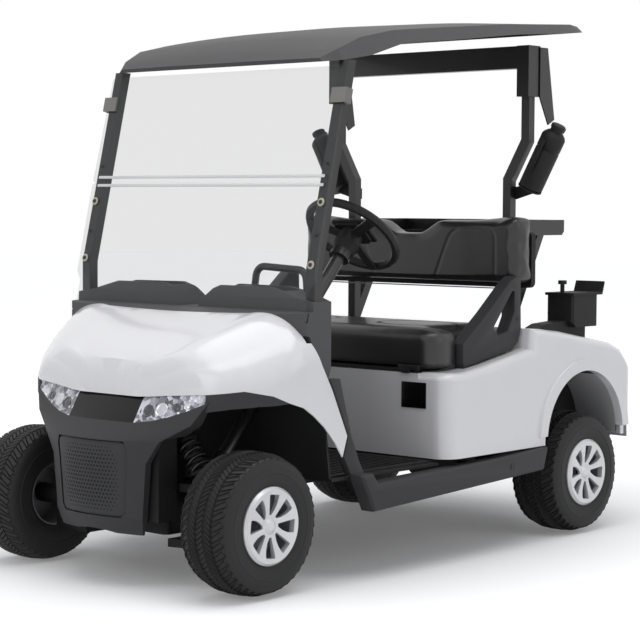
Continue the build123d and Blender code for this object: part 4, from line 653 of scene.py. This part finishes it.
def faceted_reflector():
    """A bright metal reflector of small facets in relief, each with a light or dark painted
    reflection in its colour.
    """
    finish = bpy.data.materials.new("lamp_facets_painted_reflections")
    finish.use_nodes = True
    tree = finish.node_tree
    surface = tree.nodes["Principled BSDF"]
    surface.inputs["Roughness"].default_value = 0.16
    surface.inputs["Metallic"].default_value = 0.35
    surface.inputs["Coat Weight"].default_value = 0.6
    coords = tree.nodes.new("ShaderNodeTexCoord")
    cells = tree.nodes.new("ShaderNodeTexVoronoi")
    cells.inputs["Scale"].default_value = facet_scale
    tone = tree.nodes.new("ShaderNodeValToRGB")
    tone.color_ramp.elements[0].position = 0.25
    tone.color_ramp.elements[0].color = facet_dark_reflection
    tone.color_ramp.elements[1].position = 0.75
    tone.color_ramp.elements[1].color = facet_pale_reflection
    relief = tree.nodes.new("ShaderNodeBump")
    relief.inputs["Distance"].default_value = facet_relief
    relief.inputs["Strength"].default_value = 0.7
    tree.links.new(coords.outputs["Object"], cells.inputs["Vector"])
    tree.links.new(cells.outputs["Color"], tone.inputs["Fac"])
    tree.links.new(tone.outputs["Color"], surface.inputs["Base Color"])
    tree.links.new(cells.outputs["Distance"], relief.inputs["Height"])
    tree.links.new(relief.outputs["Normal"], surface.inputs["Normal"])
    return finish


dress("headlamps", faceted_reflector())
dress("lamp_panel", gloss_black)
# distance from the middle plane, height, radius, finish
LAMP_BOWLS = [
    (0.190, 0.560, 0.020, lamp_dark),
    (0.236, 0.566, 0.022, lamp_bright),
    (0.288, 0.574, 0.015, lamp_dark),
    (0.324, 0.580, 0.011, lamp_bright),
]
before_lamps = -1.6
for number, (x, z, radius, finish) in enumerate(LAMP_BOWLS):
    bowl_profile = [
        (0.0016, radius), (0.0022, radius * 0.93), (0.0006, radius * 0.80), (0.0002, radius * 0.45),
        (0.0012, radius * 0.30), (0.0012, 0.0), (-0.002, 0.0), (-0.002, radius),
    ]
    for side, name in ((1, "left"), (-1, "right")):
        start = Vector((side * x, before_lamps, z))
        _, place, outward, _ = nodes["headlamps"].ray_cast(start, Vector((0, 1, 0)))
        if outward.y > 0:
            outward = -outward
        bowl = turned(f"lamp_bowl_{name}_{number}", bowl_profile, place, outward, finish, 28)
        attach(bowl, "chassis")

front_axle_y = -0.962
# height, half width, place of the corner and of the nose behind the front axle
BEAK = [
    (0.172, 0.185, -0.158, -0.186),
    (0.225, 0.198, -0.172, -0.218),
    (0.400, 0.214, -0.174, -0.228),
    (0.470, 0.262, -0.164, -0.228),
    (0.524, 0.352, -0.116, -0.176),
]
grille_low, grille_high = 0.2285, 0.4630
# the pad's half width, at this height, how it grows with height, and its limit
pad_half, pad_half_z = 0.1440, 0.244
pad_growth = (0.0140, 0.196)
pad_half_limit = 0.1565
pad_corner = 0.022
pad_steps = 36
pad_thick = 0.003
pad_sunk = 0.0045
pad_rim, pad_rim_share = 0.0030, 0.06


def beak_y(x, z):
    """Where the fascia's bowed front lies at that place."""
    for below, above in zip(BEAK, BEAK[1:]):
        if z <= above[0]:
            break
    share = (z - below[0]) / (above[0] - below[0])
    half, corner, nose = (below[k] + share * (above[k] - below[k]) for k in (1, 2, 3))
    sag = corner - nose
    radius = (half * half + sag * sag) / (2 * sag)
    return front_axle_y + nose + radius - math.sqrt(max(0.0, radius * radius - x * x))


def pad_half_at(z):
    """Half the grille pad's width at that height, less its round corners."""
    half = min(pad_half + pad_growth[0] * (z - pad_half_z) / pad_growth[1], pad_half_limit)
    edge = min(z - grille_low, grille_high - z)
    if edge < pad_corner:
        half -= pad_corner - math.sqrt(max(0.0, pad_corner**2 - (pad_corner - edge) ** 2))
    return half


bpy.ops.object.select_all(action="DESELECT")
bpy.ops.mesh.primitive_grid_add(x_subdivisions=pad_steps, y_subdivisions=pad_steps, size=2.0)
pad = bpy.context.object
pad.name = "grille_pad"
for point in pad.data.vertices:
    u, v = point.co.x, point.co.y
    z = grille_low + (v + 1) / 2 * (grille_high - grille_low)
    x = u * pad_half_at(z)
    rim = min(1.0, (1 - max(abs(u), abs(v))) / pad_rim_share)
    point.co = (x, beak_y(x, z) + pad_sunk - pad_rim * rim, z)
bpy.ops.object.mode_set(mode="EDIT")
bpy.ops.mesh.select_all(action="SELECT")
bpy.ops.mesh.extrude_region_move(TRANSFORM_OT_translate={"value": (0.0, pad_thick, 0.0)})
bpy.ops.object.mode_set(mode="OBJECT")
face_outwards(pad)
bpy.ops.object.shade_smooth_by_angle(angle=math.radians(40))
coat_with(pad, charcoal)
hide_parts("front_grille")
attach(pad, "chassis")

dimple_pitch = 0.0135
dimple_row = dimple_pitch * 0.866 * 1.05
dimple_margins = (0.020, 0.014)
dimple_columns = range(-11, 12)
# how far the field of dimples reaches: across, and as a share of the pad's height
field_reach, field_share = 0.128, 0.94
dimple_least, dimple_growth = 0.0014, 0.0026
dimple_sides = 10
dimple_flare = 1.25
dimple_front, dimple_back = 0.0009, 0.0018


def dimple_places():
    """Rows of dimples, smaller towards the edge of the field: across, height, radius."""
    places = []
    z = grille_low + dimple_margins[0]
    row = 0
    while z < grille_high - dimple_margins[1]:
        v = 2 * (z - grille_low) / (grille_high - grille_low) - 1
        for column in dimple_columns:
            x = (column + (row % 2) / 2) * dimple_pitch
            reach = (abs(x) / field_reach) ** 4 + abs(v / field_share) ** 4
            if reach < 1:
                places.append((x, z, dimple_least + dimple_growth * (1 - reach)))
        z += dimple_row
        row += 1
    return places


# each dimple is a near-black disc barely proud of the pad: painted shade in the pad's hollow dimples
points, faces = [], []
for x, z, radius in dimple_places():
    start = len(points)
    for reach, depth in ((radius, dimple_front), (radius * dimple_flare, dimple_back)):
        for k in range(dimple_sides):
            angle = k * math.tau / dimple_sides
            px, pz = x + reach * math.cos(angle), z + reach * math.sin(angle)
            points.append((px, beak_y(px, pz) + depth, pz))
    back = start + dimple_sides
    faces.append(list(range(start, back)))
    for k in range(dimple_sides):
        following = (k + 1) % dimple_sides
        faces.append([start + following, start + k, back + k, back + following])
    faces.append(list(reversed(range(back, back + dimple_sides))))
dimples = from_faces("grille_dimples", points, faces)
coat_with(dimples, moulded("dimple_painted_shade", (0.004, 0.004, 0.004), 0.7, 700.0, 0.0001))
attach(dimples, "chassis")

# ------------------------------------------------------------------ seat
# Moulded foam cushion and back rest under stretched black vinyl, with seams pressed
# into it; each is a full, round-edged pad on a hard plastic shell.
seat_vinyl = moulded("seat_vinyl", (0.018, 0.018, 0.019), 0.36, 420.0, 0.0002, coat=0.12, spread=0.06)
vinyl_voxel = 0.011
ease_share = 0.5
ease_rounds = 6
settle_rounds = 8
swell_frames = 14
swell_pressure = 4.0
vinyl_mass = 0.3
swell_start = 0.006
swell_cap = 0.014
spill_across, spill_along = 0.002, 0.004
groove_depth = 0.0022
groove_half = 0.0062


def swell(pad):
    """Blows the pad up from inside, from a slightly smaller start, up to the cap."""
    for point in pad.data.vertices:
        point.co -= point.normal * swell_start
    cloth = pad.modifiers.new("foam_swell", "CLOTH")
    cloth.settings.quality = 3
    cloth.settings.use_pressure = True
    cloth.settings.uniform_pressure_force = swell_pressure
    cloth.settings.effector_weights.gravity = 0.0
    cloth.settings.mass = vinyl_mass
    for number in range(1, swell_frames + 1):
        bpy.context.scene.frame_set(number)
    swollen = pad.evaluated_get(bpy.context.evaluated_depsgraph_get())
    ends = [point.co.copy() for point in swollen.data.vertices]
    pad.modifiers.remove(cloth)
    bpy.context.scene.frame_set(1)
    for point, end in zip(pad.data.vertices, ends):
        move = end - point.co
        if move.length > swell_cap:
            move *= swell_cap / move.length
        point.co += move


def foam_pad(name, spill_back):
    """A CAD pad blown up a little as foam under vinyl, and kept within its place."""
    pad = node_copy(name, "_vinyl")
    work_with(pad, "REMESH", mode="VOXEL", voxel_size=vinyl_voxel)
    work_with(pad, "SMOOTH", factor=ease_share, iterations=ease_rounds)
    swell(pad)
    work_with(pad, "SMOOTH", factor=ease_share, iterations=settle_rounds)
    work_with(pad, "SUBSURF", levels=1, render_levels=1)
    low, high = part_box(name)
    for point in pad.data.vertices:
        point.co.z = max(point.co.z, low[2])
        point.co.x = min(max(point.co.x, low[0] - spill_across), high[0] + spill_across)
        point.co.y = min(max(point.co.y, low[1] - spill_along), high[1] + spill_back)
    return pad


def emboss(pad, path, flat, axis, way):
    """Presses a seam into the vinyl that faces one way along an axis, along a flat path."""
    count = len(pad.data.vertices)
    places = np.empty(count * 3)
    normals = np.empty(count * 3)
    pad.data.vertices.foreach_get("co", places)
    pad.data.vertices.foreach_get("normal", normals)
    places, normals = places.reshape(-1, 3), normals.reshape(-1, 3)
    here = places[:, flat]
    nearest = np.full(count, 1.0)
    for start, end in zip(path, path[1:]):
        start, run = np.array(start), np.array(end) - np.array(start)
        share = np.clip((here - start) @ run / (run @ run), 0.0, 1.0)
        nearest = np.minimum(nearest, np.linalg.norm(here - start - share[:, None] * run, axis=1))
    depth = groove_depth * np.clip(1 - (nearest / groove_half) ** 2, 0.0, 1.0)
    depth[normals[:, axis] * way < 0.5] = 0.0
    places[:, axis] -= way * depth
    pad.data.vertices.foreach_set("co", places.reshape(-1))


def smooth_path(corners, rounds=3):
    """Cuts the corners of a path until it runs smoothly."""
    for _ in range(rounds):
        cut = [corners[0]]
        for (x0, y0), (x1, y1) in zip(corners, corners[1:]):
            cut.append((x0 * 0.75 + x1 * 0.25, y0 * 0.75 + y1 * 0.25))
            cut.append((x0 * 0.25 + x1 * 0.75, y0 * 0.25 + y1 * 0.75))
        corners = cut + [corners[-1]]
    return corners


# a half of the back rest's seam, from its foot: place across, height
BACK_SEAM = [
    (0.140, 0.925), (0.190, 1.050), (0.225, 1.118), (0.330, 1.122), (0.412, 1.118), (0.414, 1.040),
    (0.414, 0.925),
]
# the oval seam of each sitter's place on the cushion
sitter_x, sitter_y = 0.27, 0.13
oval_across, oval_along = 0.15, 0.115
oval_steps = 28
back_rest = foam_pad("seat_back", 0.0)
cushion = foam_pad("seat_cushion", spill_along)
for side in (1, -1):
    seam = smooth_path([(side * x, z) for x, z in BACK_SEAM])
    emboss(back_rest, seam, [0, 2], 1, -1)
    oval = []
    for k in range(oval_steps + 1):
        angle = k * math.tau / oval_steps
        across, along = oval_across * math.cos(angle), oval_along * math.sin(angle)
        oval.append((side * sitter_x + across, sitter_y + along))
    emboss(cushion, oval, [0, 1], 2, 1)
for pad, name in ((back_rest, "seat_back"), (cushion, "seat_cushion")):
    select_only(pad)
    bpy.ops.object.shade_smooth()
    coat_with(pad, seat_vinyl)
    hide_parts(name)
    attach(pad, body_of_node[name])

# a pale grey strip along the shell's lower edge, under the back rest, is a painted highlight where
# light catches that black edge
low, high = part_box("seat_back")
edge_half, edge_width, edge_thick = 0.50, 0.030, 0.003
edge_y, edge_z = low[1] + 0.020, low[2] - 0.0015
edge_highlight = rounded_bar(
    "seat_back_edge_highlight",
    Vector((-edge_half, edge_y, edge_z)),
    Vector((edge_half, edge_y, edge_z)),
    edge_width,
    edge_thick,
    Vector((0, 1, 0)),
    moulded("shell_edge_highlight", (0.30, 0.30, 0.31), 0.35, 300.0, 0.00005),
)
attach(edge_highlight, "chassis")

# ------------------------------------------------------------------ seat base fittings
# On the front of the seat base are a black cover over the service socket and the two
# halves of the seat's latch; dark plugs close the sills, and bolts hold the restraints.
low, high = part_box("seat_base")
front_y = low[1]
cover_x, cover_low, cover_high = 0.4525, 0.514, 0.602
cover_width, cover_thick, cover_proud = 0.106, 0.005, 0.0015
cover = rounded_bar(
    "service_cover",
    Vector((cover_x, front_y - cover_proud, cover_low)),
    Vector((cover_x, front_y - cover_proud, cover_high)),
    cover_width,
    cover_thick,
    Vector((1, 0, 0)),
    gloss_black,
    0.002,
)
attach(cover, "chassis")

# place across, height of the middle, width, height, body
LATCH_HALVES = [
    (0.432, 0.652, 0.090, 0.016, "seat"),
    (0.418, 0.640, 0.036, 0.018, "chassis"),
]
latch_thick, latch_proud = 0.010, 0.004
for number, (x, z, width, height, body) in enumerate(LATCH_HALVES):
    latch = rounded_bar(
        f"seat_latch_{number}",
        Vector((x, front_y - latch_proud, z - height / 2)),
        Vector((x, front_y - latch_proud, z + height / 2)),
        width,
        latch_thick,
        Vector((1, 0, 0)),
        trim_black,
        0.003,
    )
    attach(latch, body)

# node that carries the bolt, side of the cart, place along, height, radius
SIDE_BOLTS = [
    ("sill_left", 1, 0.232, 0.294, 0.013),
    ("sill_right", -1, 0.232, 0.294, 0.013),
    ("hip_restraints", 1, 0.349, 0.800, 0.008),
    ("hip_restraints", -1, 0.349, 0.800, 0.008),
]
beside_cart = 0.9
for number, (name, side, y, z, radius) in enumerate(SIDE_BOLTS):
    carrier = bpy.data.objects[name + "_skin"]
    start = Vector((side * beside_cart, y, z))
    _, place, outward, _ = carrier.ray_cast(start, Vector((-side, 0, 0)))
    if outward.x * side < 0:
        outward = -outward
    bolt_profile = [
        (-0.001, 0.0), (-0.001, radius), (0.0012, radius), (0.0016, radius * 0.75),
        (0.0003, radius * 0.65), (0.0003, 0.0),
    ]
    plug = turned(f"side_bolt_{number}", bolt_profile, place, outward, bolt_dark, 24)
    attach(plug, body_of_node[name])

# ------------------------------------------------------------------ steering wheel
# A thick soft rim with finger ribs moulded on its back, on the spoked hub, with a
# holder for the score card in its middle; a rubber boot covers the column's top.
wheel_centre = Vector((0.27, -0.224, 1.100))
wheel_axis = Vector((0.0, 0.669, 0.743)).normalized()
wheel_lean = Vector((0, 0, 1)).rotation_difference(wheel_axis).to_matrix().to_4x4()
wheel_place = Matrix.Translation(wheel_centre) @ wheel_lean
grip_rubber = moulded("grip_rubber", (0.018, 0.018, 0.019), 0.5, 500.0, 0.0002)
grip_radius, grip_half = 0.162, 0.0145
grip_ribs = 42
rib_depth = 0.0026
bpy.ops.object.select_all(action="DESELECT")
bpy.ops.mesh.primitive_torus_add(
    major_radius=grip_radius, minor_radius=grip_half, major_segments=168, minor_segments=14
)
grip = bpy.context.object
grip.name = "steering_grip"
for point in grip.data.vertices:
    around = math.atan2(point.co.y, point.co.x)
    radius = math.hypot(point.co.x, point.co.y)
    inwards = max(0.0, (grip_radius - radius) / grip_half)
    below = max(0.0, -point.co.z / grip_half) + 0.5 * inwards
    rib = 0.5 + 0.5 * math.cos(around * grip_ribs)
    point.co -= point.normal * rib_depth * min(1.0, below) * rib
grip.data.transform(wheel_place)
bpy.ops.object.shade_smooth()
coat_with(grip, grip_rubber)
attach(grip, "hand_wheel")
dress("steering_wheel", grip_rubber)


def from_wheel(across, up, out):
    """A point in the wheel's own plane: across, up the rim, along the axis."""
    return wheel_place @ Vector((across, up, out))


# the holder runs up the wheel, and its lip across the holder's lower part
holder_reach, holder_out = 0.052, 0.016
holder_width, holder_thick = 0.142, 0.012
lip_reach, lip_up, lip_out = 0.060, -0.040, 0.024
lip_width, lip_thick = 0.020, 0.006
card_holder = rounded_bar(
    "card_holder",
    from_wheel(0, -holder_reach, holder_out),
    from_wheel(0, holder_reach, holder_out),
    holder_width,
    holder_thick,
    Vector((1, 0, 0)),
    trim_black,
    0.005,
)
holder_lip = rounded_bar(
    "card_holder_lip",
    from_wheel(-lip_reach, lip_up, lip_out),
    from_wheel(lip_reach, lip_up, lip_out),
    lip_width,
    lip_thick,
    Vector((0, 1, 0)),
    charcoal,
    0.002,
)
for piece in (card_holder, holder_lip):
    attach(piece, "hand_wheel")

# height along the column from the wheel's middle, radius
boot_profile = [
    (-0.100, 0.024), (-0.092, 0.033), (-0.074, 0.037), (-0.058, 0.043), (-0.044, 0.046),
    (-0.044, 0.024),
]
boot = turned("column_boot", boot_profile, wheel_centre, wheel_axis, trim_black, 32)
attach(boot, "chassis")

# ------------------------------------------------------------------ dampers
# Coil springs of black steel wire, one wound round each damper of the front wheels'
# suspension.
spring_top_x, spring_top_z = 0.2180, 0.452
spring_foot_x, spring_foot_z = 0.3010, 0.350
coil_radius = 0.034
coil_turns = 5
coil_points = 120
wire_radius = 0.0052
for side, name in ((1, "left"), (-1, "right")):
    top = Vector((side * spring_top_x, front_axle_y, spring_top_z))
    foot = Vector((side * spring_foot_x, front_axle_y, spring_foot_z))
    spring_lean = Vector((0, 0, 1)).rotation_difference((foot - top).normalized())
    spring_place = Matrix.Translation(top) @ spring_lean.to_matrix().to_4x4()
    wire = bpy.data.curves.new(f"coil_path_{name}", "CURVE")
    wire.dimensions = "3D"
    wire.bevel_depth = wire_radius
    wire.bevel_resolution = 2
    line = wire.splines.new("POLY")
    line.points.add(coil_points - 1)
    for k in range(coil_points):
        share = k / (coil_points - 1)
        angle = share * coil_turns * math.tau
        drop = share * (foot - top).length
        around = Vector((coil_radius * math.cos(angle), coil_radius * math.sin(angle), drop))
        line.points[k].co = (*(spring_place @ around), 1.0)
    path = bpy.data.objects.new(f"coil_{name}_path", wire)
    bpy.context.scene.collection.objects.link(path)
    select_only(path)
    bpy.ops.object.convert(target="MESH")
    coil = bpy.context.object
    coil.name = f"damper_coil_{name}"
    face_outwards(coil)
    bpy.ops.object.shade_smooth()
    coat_with(coil, powder_black)
    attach(coil, "chassis")

# ------------------------------------------------------------------ sand bottles
# Black divot-sand bottles that lean out in their holders: a blown body with a groove
# under its shoulder, a neck with a screw cap and a lid, and a grip strap on one side.
rear_axle_y = 0.714
bottle_y = rear_axle_y - 0.158
bottle_foot_x, bottle_foot_z = 0.452, 1.266
bottle_head_x, bottle_head_z = 0.574, 1.488
# height above the foot, radius
BOTTLE_PROFILE = [
    (0.0, 0.0), (0.0, 0.041), (0.004, 0.0445), (0.150, 0.0445), (0.156, 0.0425), (0.160, 0.0445),
    (0.205, 0.0445), (0.214, 0.040), (0.224, 0.030), (0.228, 0.0235), (0.240, 0.0235),
    (0.240, 0.0265), (0.251, 0.0265), (0.253, 0.024), (0.253, 0.0),
]
foot_gap = 0.0003
# the lid stands behind the cap and the strap before the bottle: ends along the bottle,
# places along the cart, width and thickness
lid_low, lid_high = 0.226, 0.246
lid_low_y, lid_high_y = 0.026, 0.030
lid_width, lid_thick = 0.030, 0.012
strap_low, strap_high = 0.075, 0.195
strap_y, strap_out = -0.052, 0.0005
strap_width, strap_thick = 0.016, 0.007
for side, name in ((1, "left"), (-1, "right")):
    foot = Vector((side * bottle_foot_x, bottle_y, bottle_foot_z))
    head = Vector((side * bottle_head_x, bottle_y, bottle_head_z))
    lean = (head - foot).normalized()
    bottle = turned(
        f"sand_bottle_{name}", BOTTLE_PROFILE, foot + lean * foot_gap, lean, trim_black, 40
    )
    lid = rounded_bar(
        f"bottle_lid_{name}",
        foot + lean * lid_low + Vector((0, lid_low_y, 0)),
        foot + lean * lid_high + Vector((0, lid_high_y, 0)),
        lid_width,
        lid_thick,
        Vector((1, 0, 0)),
        trim_black,
        0.003,
    )
    out = Vector((lean.z * side, 0.0, -lean.x * side)).normalized()
    beside = out * strap_out + Vector((0, strap_y, 0))
    strap = rounded_bar(
        f"bottle_grip_{name}",
        foot + lean * strap_low + beside,
        foot + lean * strap_high + beside,
        strap_width,
        strap_thick,
        out,
        trim_black,
        0.003,
    )
    for piece in (bottle, lid, strap):
        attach(piece, "chassis")
    if side == 1:
        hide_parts("sand_bottles")

# ------------------------------------------------------------------ mud flaps
# A short grey plastic flap hangs behind each rear wheel, fixed under the end of the
# rear bumper.
flap_grey = moulded("flap_grey", (0.42, 0.42, 0.43), 0.5, 400.0, 0.0002)
flap_x = 0.505
flap_foot_y, flap_foot_z = 1.022, 0.330
flap_head_y, flap_head_z = 1.012, 0.500
flap_width, flap_thick = 0.150, 0.006
for side, name in ((1, "left"), (-1, "right")):
    flap = rounded_bar(
        f"mud_flap_{name}",
        Vector((side * flap_x, flap_foot_y, flap_foot_z)),
        Vector((side * flap_x, flap_head_y, flap_head_z)),
        flap_width,
        flap_thick,
        Vector((1, 0, 0)),
        flap_grey,
        0.002,
    )
    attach(flap, "chassis")
